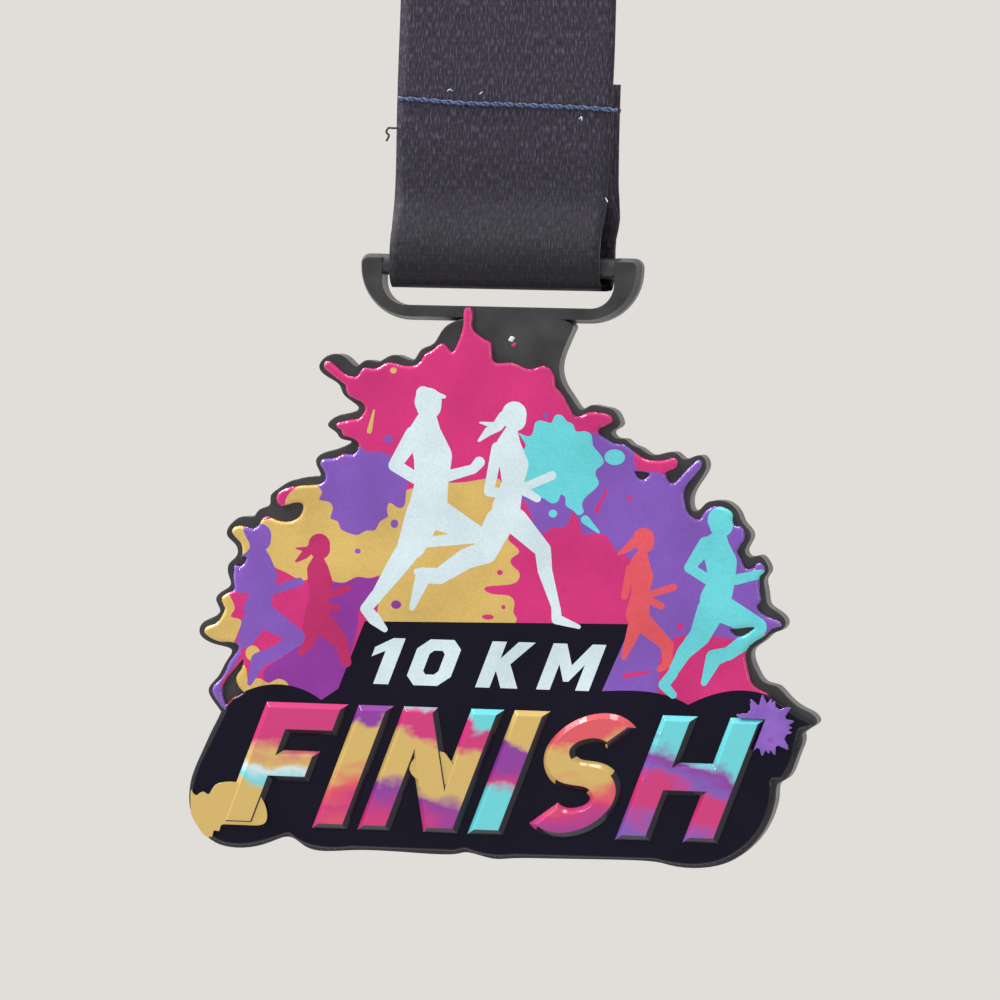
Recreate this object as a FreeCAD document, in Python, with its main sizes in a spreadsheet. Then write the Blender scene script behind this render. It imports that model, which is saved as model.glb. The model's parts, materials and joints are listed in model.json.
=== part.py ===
import FreeCAD, Part
import math
import os
import re

import Sketcher
from FreeCAD import Vector

# Finisher medal on a folded neck ribbon.  Millimetres, +Z up, the decorated face looks along -Y.
# The origin is the centre of the peg that the ribbon hangs from.  Outlines of the medal are written
# as (x, z) pairs from the centre of the bar that the ribbon goes round.

doc = FreeCAD.newDocument("finisher_medal")
sheet = doc.addObject("Spreadsheet::Sheet", "dimensions")

DIMENSIONS = [
    ("bar_drop", 98.0),          # peg centre down to the centre of the ribbon bar
    ("strand_forward", 2.6),     # peg centre forward to the bar, and inside radius of the peg loop
    ("plate_depth", 3.4),        # thickness of the cast plate, without its relief
    ("draft_angle", 14.8),       # lean of the hanger's wall from the front face to the parting line
    ("relief_rise", 0.75),       # splash and title standing above the cast plate
    ("ink_depth", 0.05),         # printed colour on the relief
    ("letter_rise", 0.7),        # raised letters above the relief
    ("letter_bevel", 0.62),      # slope round the top of each letter
    ("hanger_half", 16.6),       # half the width of the hanger
    ("hanger_above", 1.25),      # hanger above the bar centre
    ("hanger_below", 6.4),       # hanger below the bar centre
    ("hanger_small_corner", 1.1),
    ("hanger_large_corner", 6.2),
    ("slot_left", 13.75),
    ("slot_right", 13.65),
    ("slot_above", 2.0),         # the window runs past the top, where the bar takes over
    ("slot_below", 4.65),
    ("slot_small_corner", 0.4),
    ("slot_large_corner", 2.8),
    ("bar_half_height", 1.2),
    ("bar_half_depth", 1.65),    # a little inside the plate's two faces
    ("bar_round", 1.15),         # rounded edges of the bar where the ribbon turns
    ("bar_tuck", 0.6),           # how far each end of the bar runs into the hanger's side
    ("ribbon_width", 25.0),
    ("ply", 0.45),               # one thickness of ribbon
    ("loop_clear", 1.85),        # inside radius of the ribbon loop round the bar
    ("loop_straight", 2.2),      # the loop's sides stay apart up to here
    ("join_above", 8.0),         # where the back of the loop meets the strand
    ("tail_above", 21.3),        # cut ends of the ribbon above the bar centre
    ("seam_above", 19.0),
    ("seam_thick", 0.5),
    ("seam_high", 0.95),
    ("thread_radius", 0.18),
    ("hank_bottom", 63.0),       # lower folds of the hank below the peg
    ("hank_top", 8.0),           # upper folds of the hank below the peg
    ("hank_layers", 5.0),        # double runs behind the front strand
    ("hank_pitch", 1.1),         # one double run to the next
    ("tie_half_high", 4.0),
    ("tie_centre", 35.0),        # tie below the peg
    ("tie_thick", 0.35),
    ("tie_slack", 0.2),
    ("letters_left", -31.6),
    ("letters_below", 65.9),     # baseline of the letters below the bar centre
    ("letter_height", 14.6),
    ("letter_gap", 1.2),
    ("letter_slant", 20.0),      # degrees from upright
    ("curved_stroke", 3.5),      # thickness of a curved letter's stroke
]
for row, (alias, value) in enumerate(DIMENSIONS, start=1):
    sheet.set(f"A{row}", alias)
    sheet.set(f"B{row}", str(value))
    sheet.setAlias(f"B{row}", alias)
doc.recompute()


def size(alias):
    return float(getattr(sheet, alias))


PARTS = []


def keep(part, name):
    part.Label = name
    PARTS.append(part)
    return part


# ---------------------------------------------------------------- outlines and solids


def point(x, z, y=0.0):
    return Vector(x, y, z)


def closed_curve(points):
    """A smooth closed curve through the points, with gentle turns whatever their spacing."""
    marks = [0.0]
    for near, far in zip(points, points[1:] + points[:1]):
        marks.append(marks[-1] + math.sqrt(near.distanceToPoint(far)))
    curve = Part.BSplineCurve()
    curve.interpolate(Points=points, PeriodicFlag=True, Parameters=marks)
    return curve


def blob(pairs):
    """A flat face in the XZ plane inside a smooth outline."""
    curve = closed_curve([point(x, z) for x, z in pairs])
    return Part.Face(Part.Wire([curve.toShape()]))


def panel(stretches):
    """A flat face whose outline is smooth along each stretch and has a corner between stretches."""
    edges = []
    for stretch in stretches:
        points = [point(x, z) for x, z in stretch]
        if len(points) == 2:
            edges.append(Part.LineSegment(*points).toShape())
            continue
        curve = Part.BSplineCurve()
        curve.interpolate(points)
        edges.append(curve.toShape())
    return Part.Face(Part.Wire(edges))


def slab(face, back, front):
    """The solid between the depths back and front over a face in the XZ plane."""
    solid = face.copy()
    solid.translate(Vector(0, back, 0))
    return solid.extrude(Vector(0, front - back, 0))


def merged(faces):
    """One face, or a few separate ones, from faces in one plane that overlap."""
    whole = faces[0].multiFuse(faces[1:]) if len(faces) > 1 else faces[0]
    return whole.removeSplitter()


def capsule(start, end, start_radius, end_radius):
    """The flat outline of two discs and the straight sides that touch both: one limb."""
    near, far = point(*start), point(*end)
    run = far - near
    length = run.Length
    heading = math.atan2(run.z, run.x)
    spread = math.acos((start_radius - end_radius) / length)

    def on_disc(centre, radius, angle):
        return centre + Vector(radius * math.cos(angle), 0, radius * math.sin(angle))

    left, right = heading + spread, heading - spread
    near_left, near_right = on_disc(near, start_radius, left), on_disc(near, start_radius, right)
    far_left, far_right = on_disc(far, end_radius, left), on_disc(far, end_radius, right)
    near_back = on_disc(near, start_radius, heading + math.pi)
    far_tip = on_disc(far, end_radius, heading)
    return Part.Face(Part.Wire([
        Part.Arc(near_left, near_back, near_right).toShape(),
        Part.LineSegment(near_right, far_right).toShape(),
        Part.Arc(far_right, far_tip, far_left).toShape(),
        Part.LineSegment(far_left, near_left).toShape(),
    ]))


def chain(spots, radii):
    """Limbs end to end through the spots."""
    return [capsule(*pair) for pair in zip(spots, spots[1:], radii, radii[1:])]


def disc(x, z, radius):
    return Part.Face(Part.Wire([Part.Circle(point(x, z), Vector(0, -1, 0), radius).toShape()]))


# ---------------------------------------------------------------- sketched bodies


def new_sketch(body, plane, name):
    sketch = body.newObject("Sketcher::SketchObject", name)
    base = next(item for item in body.Origin.OriginFeatures if item.Role == plane)
    sketch.AttachmentSupport = (base, [""])
    sketch.MapMode = "FlatFace"
    return sketch


def worked_out(formula):
    """The value of a formula in cell names, such as 'ply * 2'."""
    return float(sheet.evalExpression(formula))


def bind(thing, field, formula):
    """Ties a field to the spreadsheet by a formula in cell names."""
    names = {alias for alias, _ in DIMENSIONS}
    thing.setExpression(field, re.sub(
        "[a-z_]+", lambda word: f"dimensions.{word[0]}" if word[0] in names else word[0], formula))


def bind_place(thing, **formulas):
    for axis, formula in formulas.items():
        bind(thing, f"Placement.Base.{axis}", formula)


def rounded_rectangle(sketch, sides, corners):
    """Sides (left, right, below, above) are distances from the sketch's origin and corners
    (below, above) are radii, all of them formulas in cell names."""
    left, right, below, above = (worked_out(side) for side in sides)
    low_corner, high_corner = (worked_out(corner) for corner in corners)
    centres = [(right - low_corner, low_corner - below, low_corner),
               (right - high_corner, above - high_corner, high_corner),
               (high_corner - left, above - high_corner, high_corner),
               (low_corner - left, low_corner - below, low_corner)]
    arcs = []
    for turn, (x, z, radius) in enumerate(centres):
        circle = Part.Circle(Vector(x, z, 0), Vector(0, 0, 1), radius)
        start = (turn - 1) * math.pi / 2
        arcs.append(sketch.addGeometry(Part.ArcOfCircle(circle, start, start + math.pi / 2)))
    lines = []
    for turn in range(4):
        start = sketch.getPoint(arcs[turn - 1], 2)
        end = sketch.getPoint(arcs[turn], 1)
        lines.append(sketch.addGeometry(Part.LineSegment(start, end)))
    for turn in range(4):
        sketch.addConstraint(Sketcher.Constraint("Tangent", arcs[turn - 1], 2, lines[turn], 1))
        sketch.addConstraint(Sketcher.Constraint("Tangent", lines[turn], 2, arcs[turn], 1))
        direction = "Horizontal" if turn % 2 == 0 else "Vertical"
        sketch.addConstraint(Sketcher.Constraint(direction, lines[turn]))
    measures = [("left", "DistanceX", (lines[3], 1, -1, 1), sides[0]),
                ("right", "DistanceX", (-1, 1, lines[1], 1), sides[1]),
                ("below", "DistanceY", (lines[0], 1, -1, 1), sides[2]),
                ("above", "DistanceY", (-1, 1, lines[2], 1), sides[3]),
                ("corner_a", "Radius", (arcs[0],), corners[0]),
                ("corner_b", "Radius", (arcs[1],), corners[1]),
                ("corner_c", "Radius", (arcs[2],), corners[1]),
                ("corner_d", "Radius", (arcs[3],), corners[0])]
    for name, kind, where, formula in measures:
        index = sketch.addConstraint(Sketcher.Constraint(kind, *where, worked_out(formula)))
        sketch.renameConstraint(index, name)
        bind(sketch, f"Constraints.{name}", formula)


def polygon(sketch, corners):
    for near, far in zip(corners, corners[1:] + corners[:1]):
        sketch.addGeometry(Part.LineSegment(Vector(*near, 0), Vector(*far, 0)))


def pad(body, sketch, name, length, **settings):
    feature = body.newObject("PartDesign::Pad", name)
    feature.Profile = sketch
    bind(feature, "Length", length)
    for field, value in settings.items():
        setattr(feature, field, value)
    return feature


# ---------------------------------------------------------------- the cast plate

# The back edge of the splash, clockwise from the right side of the hanger's neck.
SPLASH_PLATE = [
    (8.9, -7.0), (8.0, -9.1), (7.4, -11.4), (7.9, -13.5), (9.0, -15.1), (10.1, -16.3),
    (11.2, -15.8), (12.4, -15.9), (13.7, -16.2), (14.5, -17.1), (14.6, -18.1), (13.7, -18.8),
    (14.2, -19.5), (15.3, -19.6), (16.1, -20.2), (17.1, -20.6), (18.2, -21.3), (19.6, -21.2),
    (21.2, -21.0), (22.2, -21.7), (23.4, -21.4), (24.3, -21.3), (24.9, -22.3), (24.4, -23.7),
    (23.5, -25.1), (23.1, -26.4), (23.4, -27.6), (24.2, -27.5), (25.0, -26.7), (26.2, -26.4),
    (27.5, -26.6), (28.7, -27.7), (29.2, -28.8), (30.0, -29.7), (30.2, -30.7), (29.6, -32.1),
    (30.2, -32.8), (31.2, -32.6), (32.0, -33.2), (32.4, -34.4), (31.9, -35.3), (32.1, -36.7),
    (32.4, -38.2), (33.6, -39.1), (34.5, -40.2), (34.0, -41.1), (33.0, -41.5), (32.0, -42.4),
    (30.7, -43.5), (30.7, -44.8), (31.3, -46.1), (32.2, -47.2), (33.6, -47.6), (34.9, -48.8),
    (36.5, -50.0), (37.9, -50.7), (38.4, -51.6), (37.4, -52.4), (36.2, -53.6), (33.0, -57.0),
    (20.0, -61.0), (0.0, -62.0), (-20.0, -61.0), (-29.0, -58.0), (-31.4, -54.5),
    (-31.9, -52.8), (-33.5, -50.3), (-32.4, -48.6), (-31.5, -46.9), (-30.8, -45.5),
    (-32.0, -45.0), (-33.5, -44.6), (-34.7, -43.6), (-34.4, -42.4), (-33.2, -41.7),
    (-32.3, -40.9), (-32.8, -39.6), (-32.1, -38.6), (-31.1, -37.8), (-31.4, -36.6),
    (-31.3, -35.3), (-30.4, -34.3), (-30.6, -33.1), (-31.6, -32.1), (-31.5, -31.1),
    (-30.8, -30.3), (-29.9, -29.8), (-28.5, -29.7), (-27.8, -28.9), (-26.6, -28.3),
    (-26.5, -27.3), (-25.6, -26.4), (-24.4, -25.6), (-23.2, -25.2), (-21.7, -24.9),
    (-20.6, -24.7), (-21.0, -23.7), (-21.1, -22.8), (-20.3, -22.1), (-19.0, -21.7),
    (-17.7, -21.2), (-17.0, -20.7), (-18.2, -20.4), (-18.8, -19.7), (-19.8, -18.9),
    (-19.3, -18.1), (-18.3, -17.6), (-17.0, -17.3), (-16.2, -16.8), (-17.2, -15.9),
    (-18.1, -15.1), (-18.6, -14.1), (-20.2, -13.1), (-21.0, -12.1), (-20.5, -11.1),
    (-19.6, -10.6), (-18.6, -10.6), (-17.6, -11.2), (-16.6, -11.9), (-15.7, -11.3),
    (-14.8, -11.2), (-13.9, -11.3), (-13.0, -10.8), (-12.0, -10.5), (-11.0, -10.8),
    (-9.8, -11.0), (-9.2, -10.2), (-8.6, -9.6), (-7.4, -9.0), (-6.0, -7.0), (0.0, -5.6), (6.5, -5.8),
]

# The back edge of the title part, clockwise from its upper left.
TITLE_PLATE = [
    (-31.9, -52.6), (-30.0, -50.4), (-24.0, -48.0), (-10.0, -46.0), (10.0, -46.0), (26.0, -46.5),
    (33.5, -48.8), (36.0, -51.5), (36.8, -53.6), (36.4, -55.0), (35.8, -56.8), (35.0, -58.2),
    (34.0, -58.9), (33.8, -60.4), (33.3, -62.6), (32.2, -64.8), (30.3, -66.9), (27.9, -68.3),
    (24.5, -68.9), (21.8, -68.7), (20.0, -68.35), (10.0, -68.4), (3.0, -68.6), (0.7, -68.7),
    (-2.2, -68.1), (-3.6, -68.35), (-10.0, -68.35), (-15.6, -68.35), (-18.8, -68.6),
    (-21.4, -68.2), (-23.4, -67.1), (-26.0, -67.9), (-29.2, -68.6), (-32.1, -68.2),
    (-33.9, -66.9), (-35.2, -65.0), (-35.6, -63.0), (-35.3, -60.4), (-34.1, -57.4), (-33.0, -54.9),
]

# Small dark hollows that the splash is open at, right through to the plate.
SPLASH_HOLLOWS = [
    [(16.7, -23.3), (17.5, -23.3), (18.3, -23.5), (18.0, -24.0), (17.2, -24.1)],
    [(28.2, -41.2), (29.3, -41.0), (30.9, -40.9), (30.4, -41.4), (28.9, -41.9)],
    [(-29.4, -46.6), (-30.5, -47.8), (-31.6, -49.4), (-31.7, -50.8), (-31.2, -51.8),
     (-30.4, -51.0), (-29.2, -50.4), (-29.8, -49.6), (-30.0, -48.4), (-29.4, -47.4)],
    [(-30.4, -35.3), (-29.9, -34.6), (-29.2, -34.5), (-29.3, -35.1), (-29.9, -35.6)],
]

# The front edge of the raised splash, clockwise from the spike over the hanger.
SPLASH_RELIEF = [
    (-3.4, -4.8), (-2.85, -5.25), (-2.85, -7.1), (-2.2, -7.9), (-1.3, -8.5), (-0.65, -8.8),
    (-0.5, -10.0), (-0.05, -11.1), (1.5, -11.1), (2.8, -11.4), (4.1, -11.8), (5.4, -11.4),
    (6.4, -11.7), (7.0, -12.9), (7.1, -13.7), (7.8, -14.5), (8.5, -15.6), (9.0, -16.5),
    (9.6, -17.1), (10.4, -16.9), (11.2, -16.6), (12.4, -16.6), (13.5, -16.9), (13.9, -17.5),
    (13.1, -18.1), (12.3, -18.6), (12.4, -19.1), (13.2, -19.6), (14.1, -20.1), (15.2, -20.2),
    (16.0, -20.7), (16.7, -21.2), (17.8, -21.85), (19.1, -22.0), (20.3, -21.85), (21.2, -21.65),
    (21.6, -22.1), (21.2, -22.9), (20.3, -23.3), (20.4, -24.0), (20.9, -24.5), (21.5, -24.3),
    (22.4, -23.3), (23.4, -22.3), (24.1, -21.75), (24.4, -22.2), (23.9, -23.2), (22.9, -24.4),
    (22.4, -25.5), (22.5, -26.7), (22.8, -27.7), (23.5, -28.4), (24.3, -28.6), (24.8, -27.9),
    (25.4, -27.3), (26.3, -27.05), (27.4, -27.3), (28.1, -27.9), (28.1, -28.6), (28.4, -29.2),
    (29.0, -29.3), (29.5, -29.9), (29.5, -30.8), (29.0, -31.6), (28.8, -32.3), (29.1, -32.9),
    (29.5, -33.7), (29.8, -34.1), (30.7, -34.0), (31.1, -33.5), (31.6, -33.5), (32.0, -34.3),
    (31.5, -34.9), (31.4, -35.7), (31.5, -37.0), (31.6, -37.8), (31.2, -38.4), (31.6, -39.1),
    (32.7, -39.7), (33.8, -40.1), (34.1, -40.6), (33.2, -40.9), (32.5, -41.5), (31.5, -42.2),
    (30.3, -43.2), (30.0, -44.3), (30.3, -45.7), (30.7, -47.1), (31.7, -48.0), (33.0, -48.9),
    (31.0, -54.0), (10.0, -58.0), (-10.0, -58.0), (-27.0, -55.0), (-31.2, -52.6),
    (-32.9, -50.1), (-32.0, -48.9), (-31.3, -47.8), (-30.8, -46.6), (-30.1, -45.7),
    (-29.9, -44.9), (-30.8, -44.5), (-31.9, -44.5), (-33.2, -44.1), (-34.0, -43.4),
    (-33.7, -42.8), (-32.7, -42.4), (-32.0, -41.6), (-31.6, -40.7), (-31.8, -40.1),
    (-32.0, -39.4), (-31.3, -38.8), (-30.5, -38.3), (-30.6, -37.4), (-30.6, -36.5),
    (-30.5, -35.5), (-29.9, -34.7), (-29.6, -33.9), (-29.9, -32.8), (-30.7, -32.0),
    (-30.9, -31.4), (-30.4, -30.95), (-29.5, -30.95), (-28.5, -31.15), (-27.8, -30.8),
    (-27.4, -30.1), (-26.9, -29.7), (-26.2, -29.9), (-25.3, -30.2), (-24.0, -30.2),
    (-23.0, -29.7), (-22.5, -28.9), (-22.6, -28.1), (-23.6, -28.0), (-24.5, -28.3),
    (-25.2, -28.4), (-25.6, -27.9), (-25.6, -27.2), (-25.1, -26.6), (-24.3, -26.25),
    (-22.9, -26.0), (-21.2, -25.85), (-20.1, -25.5), (-19.85, -24.8), (-20.1, -24.1),
    (-20.5, -23.4), (-20.3, -22.9), (-19.4, -22.75), (-18.4, -22.5), (-17.7, -22.15),
    (-16.7, -22.2), (-16.1, -21.6), (-16.0, -21.0), (-16.4, -20.5), (-17.3, -20.2),
    (-17.9, -19.9), (-18.1, -19.4), (-18.7, -18.95), (-18.6, -18.6), (-17.9, -18.4),
    (-17.0, -18.15), (-16.1, -18.0), (-15.5, -17.4), (-15.3, -16.8), (-15.6, -16.2),
    (-16.3, -15.8), (-17.2, -15.4), (-17.6, -14.8), (-17.7, -14.2), (-18.5, -13.6),
    (-19.5, -12.85), (-20.3, -12.0), (-20.0, -11.4), (-19.3, -11.7), (-18.3, -12.5),
    (-17.5, -13.0), (-16.5, -13.1), (-16.0, -12.6), (-15.6, -12.1), (-14.8, -12.15),
    (-13.8, -12.0), (-13.0, -11.5), (-12.1, -11.45), (-11.0, -11.7), (-9.7, -11.7),
    (-8.8, -11.1), (-8.3, -10.3), (-7.4, -9.8), (-6.6, -9.1), (-6.0, -9.2), (-5.2, -10.0),
    (-4.6, -9.2), (-4.1, -7.9), (-3.85, -6.6), (-3.85, -5.25),
]

# The raised title part: smooth stretches that meet at corners, clockwise from the upper left.
TITLE_RELIEF = [
    [(-31.35, -52.5), (-30.2, -51.0), (-28.3, -49.9), (-25.5, -49.25), (-22.8, -49.5),
     (-19.8, -50.9)],
    [(-19.8, -50.9), (-17.8, -49.5)],
    [(-17.8, -49.5), (-14.8, -41.55)],
    [(-14.8, -41.55), (16.7, -40.9)],
    [(16.7, -40.9), (13.4, -48.75)],
    [(13.4, -48.75), (18.0, -48.6), (21.0, -49.0), (23.5, -50.0)],
    [(23.5, -50.0), (25.6, -49.0), (28.0, -48.3), (30.5, -48.15), (33.0, -48.7)],
    [(33.0, -48.7), (35.0, -50.0), (36.4, -50.9)],
    [(36.4, -50.9), (37.9, -51.85), (36.5, -52.4)],
    [(36.5, -52.4), (36.1, -54.2), (35.8, -55.8), (35.2, -57.2), (34.5, -58.25)],
    [(34.5, -58.25), (33.4, -58.3)],
    [(33.4, -58.3), (33.4, -60.5), (32.9, -62.6), (31.8, -64.7), (30.0, -66.6), (27.6, -68.0),
     (24.4, -68.6), (20.0, -68.1)],
    [(20.0, -68.1), (3.5, -68.25)],
    [(3.5, -68.25), (0.7, -68.4), (-2.4, -67.7)],
    [(-2.4, -67.7), (-3.6, -68.05)],
    [(-3.6, -68.05), (-15.8, -68.05)],
    [(-15.8, -68.05), (-18.8, -68.3), (-21.3, -67.9), (-23.4, -66.7)],
    [(-23.4, -66.7), (-26.0, -67.65), (-29.2, -68.3), (-31.9, -67.9), (-33.7, -66.6),
     (-35.0, -64.8), (-35.3, -63.0), (-35.0, -60.6), (-33.7, -57.4)],
    [(-33.7, -57.4), (-31.35, -52.5)],
]


FRONT = "-strand_forward - plate_depth / 2"   # the plate's front face
BAR = "-bar_drop"


def flat_part(name, face, above_plate="0", thick="ink_depth"):
    """A solid over a face drawn from the bar centre.  It starts above_plate in front of the
    cast plate's face and is thick towards the viewer."""
    feature = doc.addObject("Part::Feature", name)
    feature.Shape = slab(face, 0, -worked_out(thick))
    bind_place(feature, y=f"{FRONT} - ({above_plate})", z=BAR)
    return feature


def fused(name, pieces):
    fusion = doc.addObject("Part::MultiFuse", name)
    fusion.Shapes = pieces
    return fusion


def make_hanger():
    """The frame at the top of the medal, with the window that the ribbon goes through."""
    body = doc.addObject("PartDesign::Body", "HangerBody")
    outline = new_sketch(body, "XZ_Plane", "HangerOutline")
    rounded_rectangle(outline, ("hanger_half", "hanger_half", "hanger_below", "hanger_above"),
                      ("hanger_large_corner", "hanger_small_corner"))
    front = pad(body, outline, "HangerFront", "plate_depth / 2", Reversed=False)
    bind(front, "TaperAngle", "-draft_angle")
    pad(body, outline, "HangerBack", "plate_depth / 2", Reversed=True)
    window = new_sketch(body, "XZ_Plane", "WindowOutline")
    rounded_rectangle(window, ("slot_left", "slot_right", "slot_below", "slot_above"),
                      ("slot_large_corner", "slot_small_corner"))
    opening = body.newObject("PartDesign::Pocket", "Window")
    opening.Profile = window
    opening.Type = "ThroughAll"
    opening.Midplane = True
    bind_place(body, y="-strand_forward", z=BAR)
    return body


def make_bar():
    """The round-edged bar across the top of the window."""
    body = doc.addObject("PartDesign::Body", "BarBody")
    section = new_sketch(body, "YZ_Plane", "BarSection")
    sides = ("bar_half_depth", "bar_half_depth", "bar_half_height", "bar_half_height")
    rounded_rectangle(section, sides, ("bar_round", "bar_round"))
    pad(body, section, "BarLength", "slot_left + slot_right + 2 * bar_tuck", Midplane=True)
    bind_place(body, x="(slot_right - slot_left) / 2", y="-strand_forward", z=BAR)
    return body


def make_casting():
    plate = merged([blob(SPLASH_PLATE), blob(TITLE_PLATE)])
    plate = flat_part("Plate", plate, "-plate_depth", "plate_depth")
    keep(fused("Casting", [make_hanger(), make_bar(), plate]), "medal_casting")


def make_relief():
    """The raised splash and title.  Returns their front faces, for the print on them."""
    title = panel(TITLE_RELIEF)
    splash = blob(SPLASH_RELIEF).cut([title] + [blob(hollow) for hollow in SPLASH_HOLLOWS])
    keep(flat_part("SplashRelief", splash, thick="relief_rise"), "splash_relief")
    keep(flat_part("TitleRelief", title, thick="relief_rise"), "title_plate")
    return splash, title


# ---------------------------------------------------------------- the raised letters

# Upright outlines, anticlockwise from the lower left; the slant is added afterwards.
F_OUTLINE = [(0, 0), (4.2, 0), (4.2, 5.4), (8.6, 5.4), (8.6, 9.0), (4.2, 9.0), (4.2, 10.9),
             (9.8, 10.9), (9.8, 14.6), (0, 14.6)]
I_OUTLINE = [(0, 0), (4.2, 0), (4.2, 14.6), (0, 14.6)]
N_OUTLINE = [(0, 0), (3.9, 0), (3.9, 7.4), (7.9, 0), (11.9, 0), (11.9, 14.6), (8.0, 14.6),
             (8.0, 7.2), (4.0, 14.6), (0, 14.6)]
H_OUTLINE = [(0, 0), (4.1, 0), (4.1, 5.4), (7.9, 5.4), (7.9, 0), (12.0, 0), (12.0, 14.6),
             (7.9, 14.6), (7.9, 9.2), (4.1, 9.2), (4.1, 14.6), (0, 14.6)]
S_WIDTH = 10.8

# Paint splats that the first and third letters run into.
CORNER_SPLAT = [(-34.9, -62.1), (-34.3, -62.5), (-33.7, -62.1), (-33.0, -62.4), (-32.4, -61.5),
                (-30.5, -60.8), (-27.0, -62.0), (-26.0, -65.3), (-28.0, -65.8), (-30.6, -65.8),
                (-31.4, -66.0), (-31.6, -66.6), (-32.2, -66.6), (-32.4, -67.2), (-33.1, -67.3),
                (-34.0, -66.4), (-34.9, -65.0), (-35.1, -63.5)]
CENTRE_SPLAT = [(-5.9, -56.5), (-5.0, -56.5), (-4.3, -57.2), (-3.8, -58.1), (-3.7, -58.9),
                (-3.2, -59.4), (-4.1, -59.7), (-4.6, -60.0), (-4.9, -60.6), (-5.4, -61.1),
                (-6.3, -61.1), (-6.9, -60.5), (-7.8, -59.9), (-9.0, -58.5), (-7.5, -56.6)]


def slanted(pairs):
    lean = math.tan(math.radians(size("letter_slant")))
    return [(x + lean * z, z) for x, z in pairs]


def curved_letter():
    """The outline of an S: both sides of a stroke along two half-ellipses, with square ends."""
    stroke = size("curved_stroke")
    across = (S_WIDTH - stroke) / 2
    high = (size("letter_height") - stroke) / 4
    spots = []
    for step in range(7):
        angle = math.radians(38 + step * 232 / 6)
        spots.append((across * math.cos(angle), high + high * math.sin(angle), angle, 1))
    for step in range(1, 7):
        angle = math.radians(90 - step * 232 / 6)
        spots.append((across * math.cos(angle), high * math.sin(angle) - high, angle, -1))
    middle_x, middle_z = S_WIDTH / 2, size("letter_height") / 2
    outer, inner = [], []
    for x, z, angle, hand in spots:
        facing = Vector(math.cos(angle) * high, math.sin(angle) * across, 0).normalize()
        for side, reach in ((outer, stroke / 2), (inner, -stroke / 2)):
            side.append((middle_x + x + hand * reach * facing.x, middle_z + z + hand * reach * facing.y))
    return slanted(outer), slanted(inner)


def make_letter(number, outline, advance):
    body = doc.addObject("PartDesign::Body", f"Letter{number}")
    sketch = new_sketch(body, "XZ_Plane", f"Letter{number}Outline")
    if outline:
        polygon(sketch, slanted(outline))
    else:
        sides = curved_letter()
        for side in sides:
            curve = Part.BSplineCurve()
            curve.interpolate([Vector(x, z, 0) for x, z in side])
            sketch.addGeometry(curve)
        for end in (0, -1):
            sketch.addGeometry(Part.LineSegment(*(Vector(*side[end], 0) for side in sides)))
    raised = pad(body, sketch, f"Letter{number}Rise", "letter_rise")
    doc.recompute()
    faces = raised.Shape.Faces
    front = min(range(len(faces)), key=lambda index: faces[index].CenterOfMass.y)
    bevel = body.newObject("PartDesign::Chamfer", f"Letter{number}Bevel")
    bevel.Base = (raised, [f"Face{front + 1}"])
    bind(bevel, "Size", "letter_bevel")
    bind_place(body, x=f"letters_left + {round(advance, 2)}", y=f"{FRONT} - relief_rise",
               z=f"{BAR} - letters_below")
    return body


def make_letters():
    """The six letters.  Returns the place of the last one's foot."""
    letters = [("letter_1_f", F_OUTLINE, 9.8), ("letter_2_i", I_OUTLINE, 4.2),
               ("letter_3_n", N_OUTLINE, 11.9), ("letter_4_i", I_OUTLINE, 4.2),
               ("letter_5_s", None, S_WIDTH), ("letter_6_h", H_OUTLINE, 12.0)]
    splats = {1: CORNER_SPLAT, 3: CENTRE_SPLAT}
    advance = 0.0
    for number, (name, outline, width) in enumerate(letters, start=1):
        letter = make_letter(number, outline, advance)
        if number in splats:
            splat = flat_part(f"Splat{number}", blob(splats[number]), "relief_rise",
                              "letter_rise * 0.8")
            letter = fused(f"Letter{number}WithSplat", [letter, splat])
        keep(letter, name)
        advance += width + size("letter_gap")
    return size("letters_left") + advance - size("letter_gap") - letters[-1][2]


# ---------------------------------------------------------------- the printed picture


# Colour areas of the background, from the bar centre.  Where two overlap, the one that is cut first
# in make_print wins, so that each outline may run on under its neighbour.
CYAN_AREA = [
    (3.3, -19.3), (4.6, -19.2), (4.9, -18.0), (5.7, -17.7), (6.8, -17.9), (7.2, -17.1),
    (8.1, -17.1), (8.6, -17.7), (9.3, -18.0), (9.7, -18.8), (10.6, -18.8), (11.5, -19.2),
    (11.7, -20.3), (12.4, -21.2), (13.0, -22.4), (12.2, -23.2), (12.2, -24.0), (12.5, -24.7),
    (11.9, -25.6), (11.0, -26.4), (10.6, -27.4), (10.8, -28.1), (10.2, -28.5), (9.6, -28.0),
    (8.7, -27.4), (8.6, -26.5), (8.1, -26.2), (7.8, -26.9), (7.0, -27.2), (6.3, -26.8),
    (5.8, -26.6), (4.6, -26.0), (3.5, -25.0), (3.6, -24.0), (4.1, -23.0), (3.9, -22.0),
    (3.3, -21.3), (3.8, -20.5),
]
PURPLE_UPPER_LEFT = [
    (-19.8, -22.0), (-18.0, -22.4), (-16.0, -21.2), (-14.9, -21.8), (-13.6, -21.7),
    (-12.4, -22.1), (-11.0, -23.0), (-10.0, -24.7), (-10.2, -26.5), (-10.4, -28.0),
    (-11.2, -28.2), (-12.1, -27.7), (-12.4, -28.6), (-12.3, -29.3), (-13.2, -29.9),
    (-13.8, -30.9), (-14.8, -31.0), (-15.8, -31.5), (-17.0, -31.3), (-17.9, -30.8),
    (-18.3, -30.0), (-19.1, -29.7), (-18.9, -28.8), (-19.3, -27.8), (-20.5, -27.5),
    (-20.2, -26.7), (-21.0, -25.6), (-21.0, -23.0),
]
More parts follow.
